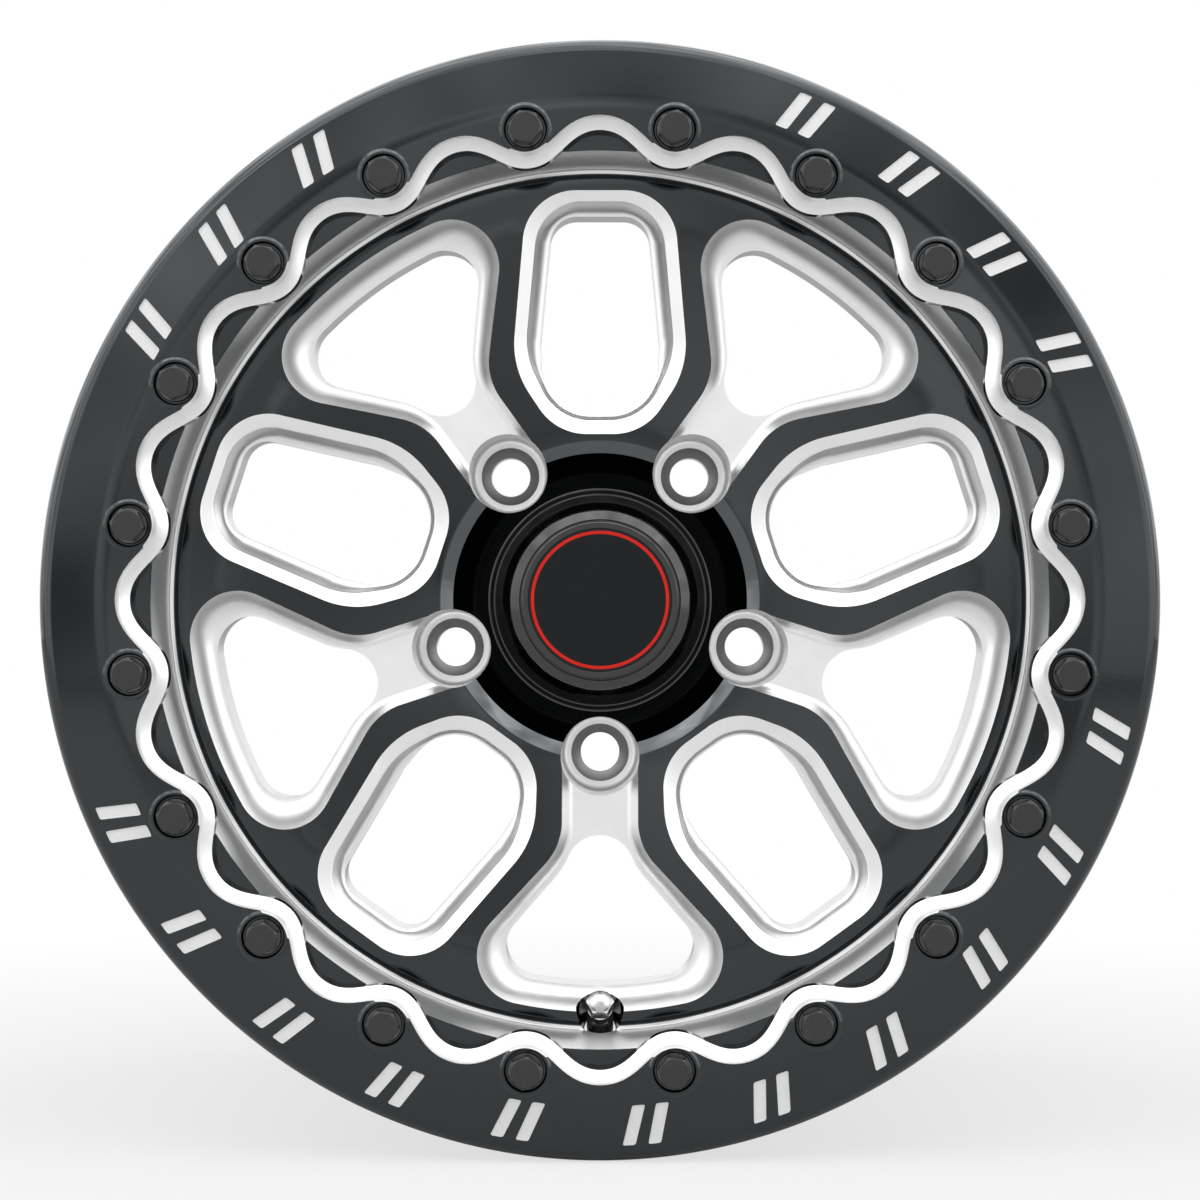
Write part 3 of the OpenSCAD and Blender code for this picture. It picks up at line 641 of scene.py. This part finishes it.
def bellOutline(shape):
    centre, radius = bellThroat(shape)
    return mirrored(bellCorner(shape) + arc(centre, radius, shape["flank"] - 90, -90, 18)
                    + [(bell["start"], shape["channel"])])


def bellHoleOutline(grow):  # an arch tangent to both throats closes the hole
    shape, shrink = bell["floor"], bell["land"] - grow
    centre, radius = bellThroat(shape, shrink)
    tip = bell["tip"] - grow
    lead = tip - centre[0]
    arch = (lead * lead + centre[1] ** 2 - radius ** 2) / (radius - lead) / 2
    meet = math.degrees(math.atan2(-centre[1], lead + arch))
    return mirrored(bellCorner(shape, shrink) + arc(centre, radius, shape["flank"] - 90, meet, 12)
                    + arc((tip + arch, 0), arch, meet + 180, 180, 16))


def bellCutter(index):
    top = [(x, y, faceHeight(math.hypot(x, y)) + bell["lead"]) for x, y in bellOutline(bell["face"])]
    base = [(x, y, wheel["channelZ"]) for x, y in bellOutline(bell["floor"])]
    rings = cove(top, base, coveSteps) + [[(x, y, wheel["faceZ"] + clearOfFace) for x, y, z in top]]
    rings = [[turned(p, bellAngle(index)) for p in ring] for ring in rings]
    return loft("bellCutter", rings, wheelSlots, [bare] * (len(rings) - 1))


def bellHole(index):
    rings = []
    for z, grow in ((-clearOfFace, bell["draft"]), (wheel["channelZ"], 0.0), (wheel["channelZ"] + 1, 0.0)):
        rings.append([turned((x, y, z), bellAngle(index)) for x, y in bellHoleOutline(grow)])
    # the hole's wall takes the painted shade
    return loft("bellHole", rings, wheelSlots, [shadedWall, bare])


lug = {"circle": 60.325, "hole": 7.7, "seatZ": 19, "seatDepth": 6.4, "seatAngle": 30,
       "pocket": 15.1, "fillet": 2.6}
padPocket = {"radius": 11, "depth": 12, "round": 2.5}


def lugCutter(index):
    hole, seatZ, fillet = lug["hole"], lug["seatZ"], lug["fillet"]
    cone = hole + lug["seatDepth"] * math.tan(math.radians(lug["seatAngle"]))
    # the cone seat's band takes the lug seat's painted shade
    profile = ([(0, -2, bare), (hole + 1, -2), (hole + 1, 0), (hole, 1, bare),
                (hole, seatZ - lug["seatDepth"], coned), (cone, seatZ, bare)]
               + arc((lug["pocket"] - fillet, seatZ + fillet), fillet, -90, 0, 10)
               + [(lug["pocket"], wheel["seatZ"]), (0, wheel["seatZ"])])
    return revolve("lugCutter", profile, wheelSlots, 96, place=atRadius(lug["circle"], bellAngle(index)))


def padCutter(index):
    r, depth, corner = padPocket["radius"], padPocket["depth"], padPocket["round"]
    profile = ([(0, -1, painted), (r + 0.6, -1), (r + 0.6, 0), (r, 0.6), (r, depth - corner)]
               + arc((r - corner, depth - corner), corner, 10, 90, 6) + [(0, depth)])
    return revolve("padCutter", profile, wheelSlots, 64, place=atRadius(lug["circle"], ovalAngle(index)))


valve = {
    "seat": barrel["well"] + 6.4, "floor": 4.5, "hole": 5.7, "pocket": 9.2,
    "stem": 35.5, "thread": 10, "threadRadius": 3.85, "pitch": 0.8, "body": 5.1, "head": 6.9,
    "grommet": 2.4, "headHeight": 1.8, "washer": 1.2, "nut": 4.6, "nutFlats": 13,
    "coreBore": 2.2, "coreDepth": 22, "airHole": 1.6,
    "cap": 14.5, "capRadius": 4.67, "skirt": 6, "dome": 6.2, "crown": 3.4, "seal": 1.4,
}


def onValve(point):  # from the valve's own axis to the wheel
    lean = math.radians(wheel["lean"])
    x = point[0] * math.cos(lean) - point[2] * math.sin(lean) + valve["seat"]
    z = point[0] * math.sin(lean) + point[2] * math.cos(lean) + slopeHeight(valve["seat"])
    return turned((x, point[1], z), wheel["valveAngle"])


def valveCutters():
    v = valve
    pocketProfile = ([(0, v["floor"], painted)] + arc((v["pocket"] - 1, v["floor"] + 1), 1, -90, 0, 5)
                     + [(v["pocket"], 64), (0, 64)])
    holeProfile = [(0, -8, painted), (v["hole"], -8), (v["hole"], 20), (0, 20)]
    return (revolve("valvePocket", pocketProfile, wheelSlots, 72, place=onValve),
            revolve("valveHole", holeProfile, wheelSlots, 48, place=onValve))


def boltHoles():
    foot, radius = wheel["insertFoot"], wheel["insertRadius"]
    profile = [(0, foot, lathed), (radius, foot + 2), (radius, 100), (0, 100)]
    holes = aroundBolts(lambda place: revolve("boltHole", profile, wheelSlots, 40, place=place))
    return joined("boltHoles", holes)


def makeWheel():
    profile = hubProfile() + faceProfile() + seatProfile() + barrelOutside() + barrelInside() + backProfile()
    body = revolve("wheelBody", profile, wheelSlots, 288)
    each = range(wheel["windows"])
    carve(body, joined("ovals", [ovalCutter(i) for i in each] + [padCutter(i) for i in each]))
    carve(body, joined("bells", [bellCutter(i) for i in each]))
    carve(body, joined("holes", [bellHole(i) for i in each] + [lugCutter(i) for i in each]))
    for cutter in valveCutters():
        carve(body, cutter)
    carve(body, boltHoles())
    finishMesh(body, 32)
    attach(body, "wheel")
    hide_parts("wheel_rim")


makeWheel()
print("wheel made")

# The clamp ring, with its scalloped and bevelled inner edge

ring = {
    "outer": 209.5, "thickness": 11, "land": 185.4, "edgeDrop": 2, "round": 6.5, "flat": (172, 180),
    "low": 163, "high": 175.2, "flatten": 0.03, "waveSteps": 40,
    "bevel": 4.9, "bevelDepth": 4.6,
    "crease": 3, "boss": 8.9, "bossHeight": 0.8, "recess": 7.8, "recessDepth": 1.6, "hole": 4.32,
    "engrave": 0.6, "grooves": (193.3, 197.4, 201.4), "grooveDepth": 0.85,
}
ringSlots = [black, milled, white]
ringTop = wheel["seatZ"] + ring["thickness"]
boltSeat = ringTop - ring["recessDepth"]


def ringFront(drop):
    r = ring
    return [(r["land"], ringTop - drop)] + arc(
        (r["outer"] - r["round"], ringTop - r["edgeDrop"] - r["round"]), r["round"] - drop, 80, 0, 14)


def ringProfile():
    r, seat, deep = ring, wheel["seatZ"], ring["grooveDepth"]
    back = [(r["outer"], seat + 1.2), (r["outer"] - 0.4, seat + 0.4), (r["outer"] - 1.2, seat)]
    for groove in reversed(r["grooves"]):
        back += [(groove + deep, seat), (groove, seat + deep), (groove - deep, seat)]
    front = ringFront(0)[1:]
    slope = (ringTop - front[0][1]) / (front[0][0] - r["land"])
    crease = [(r["land"] + d, ringTop - slope * (d + r["crease"]) ** 2 / (4 * r["crease"]))
              for d in [r["crease"] * k / 4 for k in range(-4, 5)]]
    inner = [(r["low"] - 2, seat)] + [(radius, ringTop) for radius in (r["low"] - 2,) + r["flat"]]
    return inner + crease + front + back


def scallop(grow):  # the wavy inner edge, moved outwards by grow
    r = ring
    count, middle, swing = wheel["boltCount"], (r["low"] + r["high"]) / 2, (r["high"] - r["low"]) / 2
    points = []
    steps = count * r["waveSteps"]
    for i in range(steps):
        a = 2 * math.pi * i / steps
        phase = count * a
        radius = middle + swing * (math.cos(phase) - r["flatten"] * math.cos(3 * phase)) / (1 - r["flatten"])
        wave = math.sin(phase) - 3 * r["flatten"] * math.sin(3 * phase)
        slope = -swing * count * wave / (1 - r["flatten"]) / radius
        out, side = 1 / math.hypot(1, slope), -slope / math.hypot(1, slope)
        points.append(((radius + grow * out) * math.cos(a) - grow * side * math.sin(a),
                       (radius + grow * out) * math.sin(a) + grow * side * math.cos(a)))
    return points


def scallopCutter():
    deep = ring["bevelDepth"]
    steps = ((0, -30), (0, -deep), (0.12, -deep + 0.35), (0.35, -0.80 * deep), (0.55, -0.60 * deep),
             (0.75, -0.39 * deep), (0.9, -0.19 * deep), (1.0, 0), (1.1, 0.6), (1.1, 20))
    rings = [[(x, y, ringTop + z) for x, y in scallop(ring["bevel"] * grow)] for grow, z in steps]
    return loft("scallops", rings, ringSlots, [0] + [1] * 8, 20)


bars = {"inner": 188, "length": 15, "width": 4.8, "slant": -4.5, "gap": 1.35, "round": 0.9,
        "rows": ((67, 13, 4), (-15, 14, 11), (149, 13, 3))}  # first angle, step and count of each row


def towards(a, b, distance):
    length = math.dist(a, b)
    return (a[0] + (b[0] - a[0]) * distance / length, a[1] + (b[1] - a[1]) * distance / length)


def roundedCorners(outline, radius, steps=5):
    points = []
    for i, corner in enumerate(outline):
        before, after = outline[i - 1], outline[(i + 1) % len(outline)]
        start, end = towards(corner, before, radius), towards(corner, after, radius)
        for k in range(steps + 1):
            t = k / steps
            a, b, c = (1 - t) ** 2, 2 * t * (1 - t), t * t
            points.append(tuple(a * start[n] + b * corner[n] + c * end[n] for n in range(2)))
    return points


def barOutline():
    length, width, slant = bars["length"], bars["width"], bars["slant"]
    outline = [(0, 0), (length, slant), (length, slant + width), (0, width)]
    return roundedCorners([(x + bars["inner"], y) for x, y in outline], bars["round"])


def barCutter():  # a skin of the ring's front, kept only where the bars are
    inner, outer, corners = ring["land"] - 2, ring["outer"] + 4, barOutline()
    shell = [(inner, ringTop - ring["engrave"])] + ringFront(ring["engrave"])[1:] + [
        (outer, ringTop - 10), (outer, ringTop + 4), (inner, ringTop + 4)]
    skin = revolve("barSkin", shell, [white], 288)
    pieces = []
    for place in [first - step * i for first, step, count in bars["rows"] for i in range(count)]:
        for side in (-1, 1):
            pieces.append(loft("bar", [[turned((x, y, z), place + side * bars["gap"]) for x, y in corners]
                                       for z in (ringTop - 9, ringTop + 9)], [white]))
    carve(skin, joined("bars", pieces), "INTERSECT")
    return skin


def makeRing():
    r = ring
    body = revolve("clampRing", ringProfile(), ringSlots, 360)

    def carveAtBolts(name, profile, operation="DIFFERENCE"):
        pieces = aroundBolts(lambda place: revolve(name, profile, ringSlots, 56, place=place))
        carve(body, joined(name, pieces), operation)

    top, boss, hole, recess = ringTop + r["bossHeight"], r["boss"], r["hole"], r["recess"]
    low, foot = ringTop - 2, wheel["seatZ"] - 1
    carveAtBolts("boss", [(0, low), (boss + 1.4, low), (boss + 1.2, ringTop - 0.2),
                          (boss + 0.7, ringTop + 0.15), (boss + 0.25, top - 0.2), (boss - 0.1, top),
                          (0, top)], "UNION")
    carve(body, scallopCutter())
    carveAtBolts("recess", [(0, foot), (hole, foot), (hole, boltSeat), (recess - 0.4, boltSeat),
                            (recess, boltSeat + 0.4), (recess, top - 0.3), (recess + 0.5, top + 0.2),
                            (recess + 0.5, top + 10), (0, top + 10)])
    carve(body, barCutter())
    finishMesh(body, 28)
    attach(body, "wheel")
    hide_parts("beadlock_ring")


makeRing()
print("clamp ring made")

# Clamp bolts and washers

bolt = {"flats": 11.1, "head": 7.4, "chamfer": 0.9, "bevel": 0.35, "washer": 6.8, "washerHeight": 1.3,
        "shank": 3.95, "thread": 0.5, "length": 26, "pitch": 1.27, "turn": 12}


def softenEdges(piece, width):
    edge = piece.modifiers.new("edge", "BEVEL")
    edge.width = width * mm
    edge.segments = 3
    edge.limit_method = "ANGLE"
    applyModifiers(piece)


def hexagonHead(name, flats, z0, z1, chamfer, material, bevel):
    across = flats / 2 / math.cos(math.pi / 6)
    prism = loft(name, [[(across * math.cos(math.pi * i / 3), across * math.sin(math.pi * i / 3), z)
                         for i in range(6)] for z in (z0, z1)], [material])
    softenEdges(prism, bevel)
    crown = revolve("crown", [(0, z0 - 5), (across + 2, z0 - 5), (across + 2, z1 - chamfer - 0.9),
                              (flats / 2 - 0.15, z1 - 0.05), (flats / 2 - 0.7, z1 + 0.02), (0, z1 + 0.02)],
                    [material], 64)
    carve(prism, crown, "INTERSECT")
    return prism


def moved(piece, place):
    for v in piece.data.vertices:
        v.co = toFrame(place((v.co.x / mm, v.co.z / mm, -v.co.y / mm)))
    return piece


def threadedShank(name, radius, root, pitch, z0, z1, material, steps=16):
    levels = int((z1 - z0) / pitch * 4)
    rings = []
    for i in range(levels + 1):
        ringRadii = [radius if (i + k * 4 / steps) % 4 < 2 else root for k in range(steps)]
        rings.append([(r * math.cos(2 * math.pi * k / steps), r * math.sin(2 * math.pi * k / steps),
                       z0 + (z1 - z0) * i / levels) for k, r in enumerate(ringRadii)])
    return loft(name, rings, [material], angle=40)


def makeBolts():
    b, shank, edge = bolt, bolt["shank"], bolt["washer"]
    foot = boltSeat + b["washerHeight"]
    washerProfile = [(shank + 0.3, boltSeat), (edge - 0.3, boltSeat), (edge, boltSeat + 0.3),
                     (edge, foot - 0.3), (edge - 0.3, foot), (shank + 0.3, foot)]
    for i in range(wheel["boltCount"]):
        place = atRadius(wheel["boltCircle"], boltAngle(i), b["turn"] * (i + 1))
        head = hexagonHead("head", b["flats"], foot, foot + b["head"], b["chamfer"], bolts, b["bevel"])
        stud = threadedShank("shank", shank, shank - b["thread"], b["pitch"],
                             foot - b["length"], foot + 0.5, bolts)
        whole = moved(joined("clampBolt%02d" % (i + 1), [head, stud]), place)
        finishMesh(whole, 30)
        washer = revolve("boltWasher%02d" % (i + 1), washerProfile, [washerSteel], 48, place=place)
        for piece, node in ((whole, "clamp_bolt_%02d"), (washer, "bolt_washer_%02d")):
            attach(piece, "wheel")
            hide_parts(node % (i + 1))


makeBolts()
print("bolts made")

# Centre cap with its badge

cap = {"flange": 43.3, "top": 72, "crown": 34.2, "round": 1.2, "fall": 1.6, "wall": 2.4,
       "skirt": 40.3, "skirtFoot": 26, "ringGroove": (39.1, 29.25, 30.75),
       "badge": 26.8, "badgeSink": 1.4, "badgeHeight": 1.2, "redLine": 25.6, "redWidth": 1.3, "redSink": 0.4}
shiny, dull = range(2)


def capProfile(foot, badgeZ):
    c, top, crown, flange = cap, cap["top"], cap["crown"], cap["flange"]
    skirt, skirtFoot = c["skirt"], c["skirtFoot"]
    badge, inner, (grooveRadius, grooveLow, grooveHigh) = c["badge"], skirt - c["wall"], c["ringGroove"]
    return (
        [(0, badgeZ), (badge + 0.2, badgeZ), (badge + 0.2, top - 0.4), (badge + 0.5, top - 0.05),
         (badge + 0.8, top), (badge + 2.5, top), (badge + 2.8, top - 0.2), (badge + 3, top - 0.7),
         (badge + 3.4, top - 0.7), (badge + 3.6, top - 0.3), (badge + 3.8, top - 0.1)]
        + arc((crown - c["round"], top - c["fall"] - c["round"]), c["round"], 62, 0, 10)
        + [(crown + 0.5, top - 8, dull), (crown + 0.9, top - 13), (crown + 1.6, foot + 10)]
        + arc((crown + 5.6, foot + 7.6), 3.6, 180, 250, 12)
        + [(flange - 2.9, foot + 3.6, shiny), (flange - 2.6, foot + 2.7), (flange - 2.2, foot + 2.6, dull),
           (flange - 0.8, foot + 2.6, shiny), (flange - 0.1, foot + 2.4), (flange, foot + 2, dull),
           (flange, foot), (skirt, foot), (skirt, grooveHigh), (grooveRadius, grooveHigh),
           (grooveRadius, grooveLow), (skirt, grooveLow), (skirt, skirtFoot + 1), (skirt - 0.6, skirtFoot),
           (inner, skirtFoot), (inner, foot + 0.5), (crown - 0.9, foot + 4), (crown - c["wall"], top - 8),
           (crown - 6, badgeZ - c["wall"]), (0, badgeZ - c["wall"])])


def makeCap():
    c = cap
    badgeZ = c["top"] - c["badgeSink"]
    shell = revolve("capShell", capProfile(wheel["recessZ"], badgeZ), [capPlastic, flangeBlack], 192,
                    closed=False, angle=28)
    finishMesh(shell, 28)
    lineIn, lineOut = c["redLine"] - c["redWidth"] / 2, c["redLine"] + c["redWidth"] / 2
    top, low, edge = badgeZ + c["badgeHeight"], badgeZ + c["badgeHeight"] - c["redSink"], c["badge"]
    discProfile = [(0, badgeZ + 0.02), (edge, badgeZ + 0.02), (edge, top - 0.25), (edge - 0.25, top),
                   (lineOut, top), (lineOut, low), (lineIn, low), (lineIn, top), (12, top + 0.02),
                   (0, top + 0.03)]
    disc = revolve("capBadge", discProfile, [charcoal], 160, closed=False)
    lineProfile = [(lineIn + 0.02, low), (lineIn + 0.02, top - 0.02), (lineIn + 0.12, top + 0.03),
                   (lineOut - 0.12, top + 0.03), (lineOut - 0.02, top - 0.02), (lineOut - 0.02, low)]
    line = revolve("badgeLine", lineProfile, [red], 160)
    for piece, node, slot in ((shell, "centre_cap", "cap_black"), (disc, "cap_badge", "badge_charcoal"),
                              (line, "badge_ring", "badge_red")):
        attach(piece, "wheel")
        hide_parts(node)


makeCap()
print("cap made")

# Valve: stem, washer and nut on the wheel, and a cap that comes off


def makeStem():
    v, radius = valve, valve["threadRadius"]
    threadFoot, under, core = v["stem"] - v["thread"], -v["grommet"], v["stem"] - v["coreDepth"]
    headFoot = under - v["headHeight"]
    profile = [(v["airHole"], headFoot), (v["head"] - 1, headFoot), (v["head"] - 0.4, headFoot + 0.4),
               (v["head"], under - 0.3), (v["head"] - 0.3, under), (v["body"], under),
               (v["body"], threadFoot - 1.5), (radius, threadFoot)]
    for i in range(int((v["thread"] - 1.2) / v["pitch"])):
        z = threadFoot + 0.4 + i * v["pitch"]
        profile += [(radius - 0.4, z), (radius - 0.4, z + 0.12), (radius, z + 0.36), (radius, z + 0.48)]
    profile += [(radius, v["stem"] - 0.5), (radius - 0.5, v["stem"]), (v["coreBore"] + 0.3, v["stem"]),
                (v["coreBore"], v["stem"] - 0.3), (v["coreBore"], core), (v["airHole"], core)]
    return revolve("valveStem", profile, [plated], 64, place=onValve)


def makeNut():
    v = valve
    foot, bore = v["floor"] + v["washer"], v["body"] + 0.05
    nut = hexagonHead("valveNut", v["nutFlats"], foot, foot + v["nut"], 0.7, plated, 0.3)
    carve(nut, revolve("bore", [(0, 0), (bore, 0), (bore, 40), (0, 40)], [plated], 48))
    moved(nut, onValve)
    finishMesh(nut, 30)
    return nut


def makeWasher():
    low, high = valve["floor"], valve["floor"] + valve["washer"]
    radius, bore = valve["pocket"] - 1, valve["body"] + 0.2
    profile = [(bore, low), (radius - 0.2, low), (radius, low + 0.2), (radius, high - 0.3),
               (radius - 0.3, high), (bore, high)]
    return revolve("valveWasher", profile, [plated], 64, place=onValve)


def makeValveCap():  # a round skirt and a domed hexagon, hollow for the thread
    v, radius, inner = valve, valve["capRadius"], valve["threadRadius"] + 0.12
    foot = v["stem"] + v["seal"] + 0.2 + v["crown"] - v["cap"]
    top, hexFoot, roof = foot + v["cap"], foot + v["skirt"], foot + v["cap"] - v["crown"]
    profile = [(inner, foot), (radius - 0.3, foot), (radius, foot + 0.3), (radius, hexFoot - 1.2),
               (radius - 0.35, hexFoot - 0.9), (radius - 0.35, hexFoot - 0.3), (radius - 0.1, hexFoot + 0.2),
               (radius - 0.1, top - 3.2), (0, top - 3.2), (0, roof), (inner, roof)]
    whole = revolve("valveCap", profile, [plated], 64)
    corner = radius / math.cos(math.pi / 6)
    ends = [[turned((corner, 0, z), 30 + 60 * k) for k in range(6)] for z in (hexFoot, top)]
    hexagon = loft("hexagon", ends, [plated])
    softenEdges(hexagon, 0.25)
    domeProfile = [(0, hexFoot - 1)] + arc((0, top - v["dome"]), v["dome"], -20, 90, 40)
    carve(hexagon, revolve("dome", domeProfile, [plated], 96), "INTERSECT")
    hollow, low, high = inner + 0.3, hexFoot - 6, top - 3.3
    carve(hexagon, revolve("hollow", [(0, low), (hollow, low), (hollow, high), (0, high)], [plated], 48))
    carve(whole, hexagon, "UNION")
    moved(whole, onValve)
    finishMesh(whole, 30)
    return whole


for piece, body, node in ((makeStem(), "wheel", "valve_stem"), (makeNut(), "wheel", "valve_nut"),
                          (makeWasher(), "wheel", "valve_washer"), (makeValveCap(), "cap", "valve_cap")):
    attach(piece, body)
    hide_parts(node)
print("valve made")

# Small pieces that keep their solid and only take a finish
smallPieces = {
    "thread_inserts": springSteel, "cap_spring_ring": springSteel, "valve_grommet": rubber,
    "valve_core": brass, "valve_spring": springSteel, "valve_pin": brass, "valve_cap_seal": rubber,
}
for node, finish in smallPieces.items():
    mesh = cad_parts[node].data
    mesh.materials.clear()
    mesh.materials.append(finish)

# Camera, floor, lamps and background

view = {"distance": 1.189, "lens": 88.6, "sensor": 36}
cameraData = bpy.data.cameras.new("camera")
cameraData.lens = view["lens"]
cameraData.sensor_width = view["sensor"]
camera = bpy.data.objects.new("camera", cameraData)
camera.location = (0, -view["distance"], 0)
camera.rotation_euler = (math.radians(90), 0, 0)
bpy.context.scene.collection.objects.link(camera)
bpy.context.scene.camera = camera

floorShade = {"colour": 0.86, "shadow": 0.3, "near": 0.25, "far": 0.7, "size": 6.0, "gap": 0.0002}


def makeFloor():  # white to the camera, with the wheel's shadow only close to it
    level = cadBox[0][2] - floorShade["gap"]
    half = floorShade["size"] / 2
    corners = [(-half, -half, level), (half, -half, level), (half, half, level), (-half, half, level)]
    mesh = bpy.data.meshes.new("floor")
    mesh.from_pydata(corners, [], [(0, 1, 2, 3)])
    floor = bpy.data.objects.new("floor", mesh)
    bpy.context.scene.collection.objects.link(floor)
    finish = Finish("floor", {"Roughness": 0.9, "Specular IOR Level": 0.0})
    shade = floorShade["colour"]
    finish.feed("Base Color", finish.mixed(finish.noise(3, 2), shade - 0.01, shade))
    away = (finish.x * finish.x + finish.y * finish.y) ** 0.5
    near = 1 - ((away - floorShade["near"]) / (floorShade["far"] - floorShade["near"])).clamped()
    seen = finish.root.output("ShaderNodeLightPath", {}, {}, "Is Camera Ray")
    glow = finish.root.output("ShaderNodeEmission", {}, {"Color": (1, 1, 1, 1), "Strength": 1.0})
    plain = Value(finish.root.tree, finish.shader.outputs[0])
    direct = seen * (1 - near * floorShade["shadow"])
    mix = finish.root.output("ShaderNodeMixShader", {}, {0: direct, 1: plain, 2: glow})
    surface = finish.root.tree.nodes["Material Output"].inputs["Surface"]
    finish.root.tree.links.new(mix.socket, surface)
    mesh.materials.append(finish.material)


makeFloor()

lamps = {  # place, width, height and power
    "top lamp": ((0, -0.9, 1.7), 3.0, 2.0, 16),
    "left lamp": ((-1.8, -1.3, 0.5), 2.0, 2.4, 11),
    "right lamp": ((1.8, -1.3, 0.5), 2.0, 2.4, 11),
}


def softbox(name, place, width, height, power):  # a rectangle of light that faces the wheel
    data = bpy.data.lights.new(name, "AREA")
    data.shape = "RECTANGLE"
    data.size, data.size_y = width, height
    data.energy = power
    lamp = bpy.data.objects.new(name, data)
    lamp.location = place
    x, y, z = place
    lamp.rotation_euler = (math.acos(z / math.hypot(x, y, z)), 0, math.atan2(-y, -x) - math.pi / 2)
    bpy.context.scene.collection.objects.link(lamp)


for name, settings in lamps.items():
    softbox(name, *settings)

# Mirrored light: dim near the axle, brighter upwards and to the sides, and dim again from behind
studio = {"soft": 0.55, "front": 0.74, "above": 1.6, "lift": 1.0, "least": 0.3, "inner": 60, "outer": 95,
          "behind": 0.12, "patches": 7, "contrast": 2.6}


def makeWorld():
    s = studio
    world = bpy.data.worlds.new("studio")
    world.use_nodes = True
    bpy.context.scene.world = world
    root = Value(world.node_tree)
    direct = root.output("ShaderNodeLightPath", {}, {}, "Is Camera Ray")
    glossy = root.output("ShaderNodeLightPath", {}, {}, "Is Glossy Ray")
    place = root.output("ShaderNodeTexCoord", {}, {}, "Generated")
    back = root.output("ShaderNodeSeparateXYZ", {}, {0: place}, 1)
    height = root.output("ShaderNodeSeparateXYZ", {}, {0: place}, 2)
    near, far = math.cos(math.radians(s["inner"])), math.cos(math.radians(s["outer"]))
    aside = ((back + near) / (near - far)).clamped()
    raised = (height * 3 + 0.5).clamped()
    behind = (back * 1.6 - 0.4).clamped()
    patch = root.output("ShaderNodeTexNoise", {}, {"Vector": place, "Scale": s["patches"], "Detail": 1.0})
    mirror = (height * s["lift"] + 1) * s["front"] + aside * raised * (s["above"] - s["front"])
    mirror = mirror.maths("MAXIMUM", mirror, s["least"]) * (1 - behind * s["behind"])
    mirror = mirror * ((patch - 0.5) * s["contrast"] + 1)
    strength = direct + (1 - direct) * (glossy * mirror + (1 - glossy) * s["soft"])
    background = world.node_tree.nodes["Background"]
    world.node_tree.links.new(strength.socket, background.inputs["Strength"])
    background.inputs["Color"].default_value = (1, 1, 1, 1)


makeWorld()
bpy.context.scene.view_settings.view_transform = "Standard"
print("stage made")
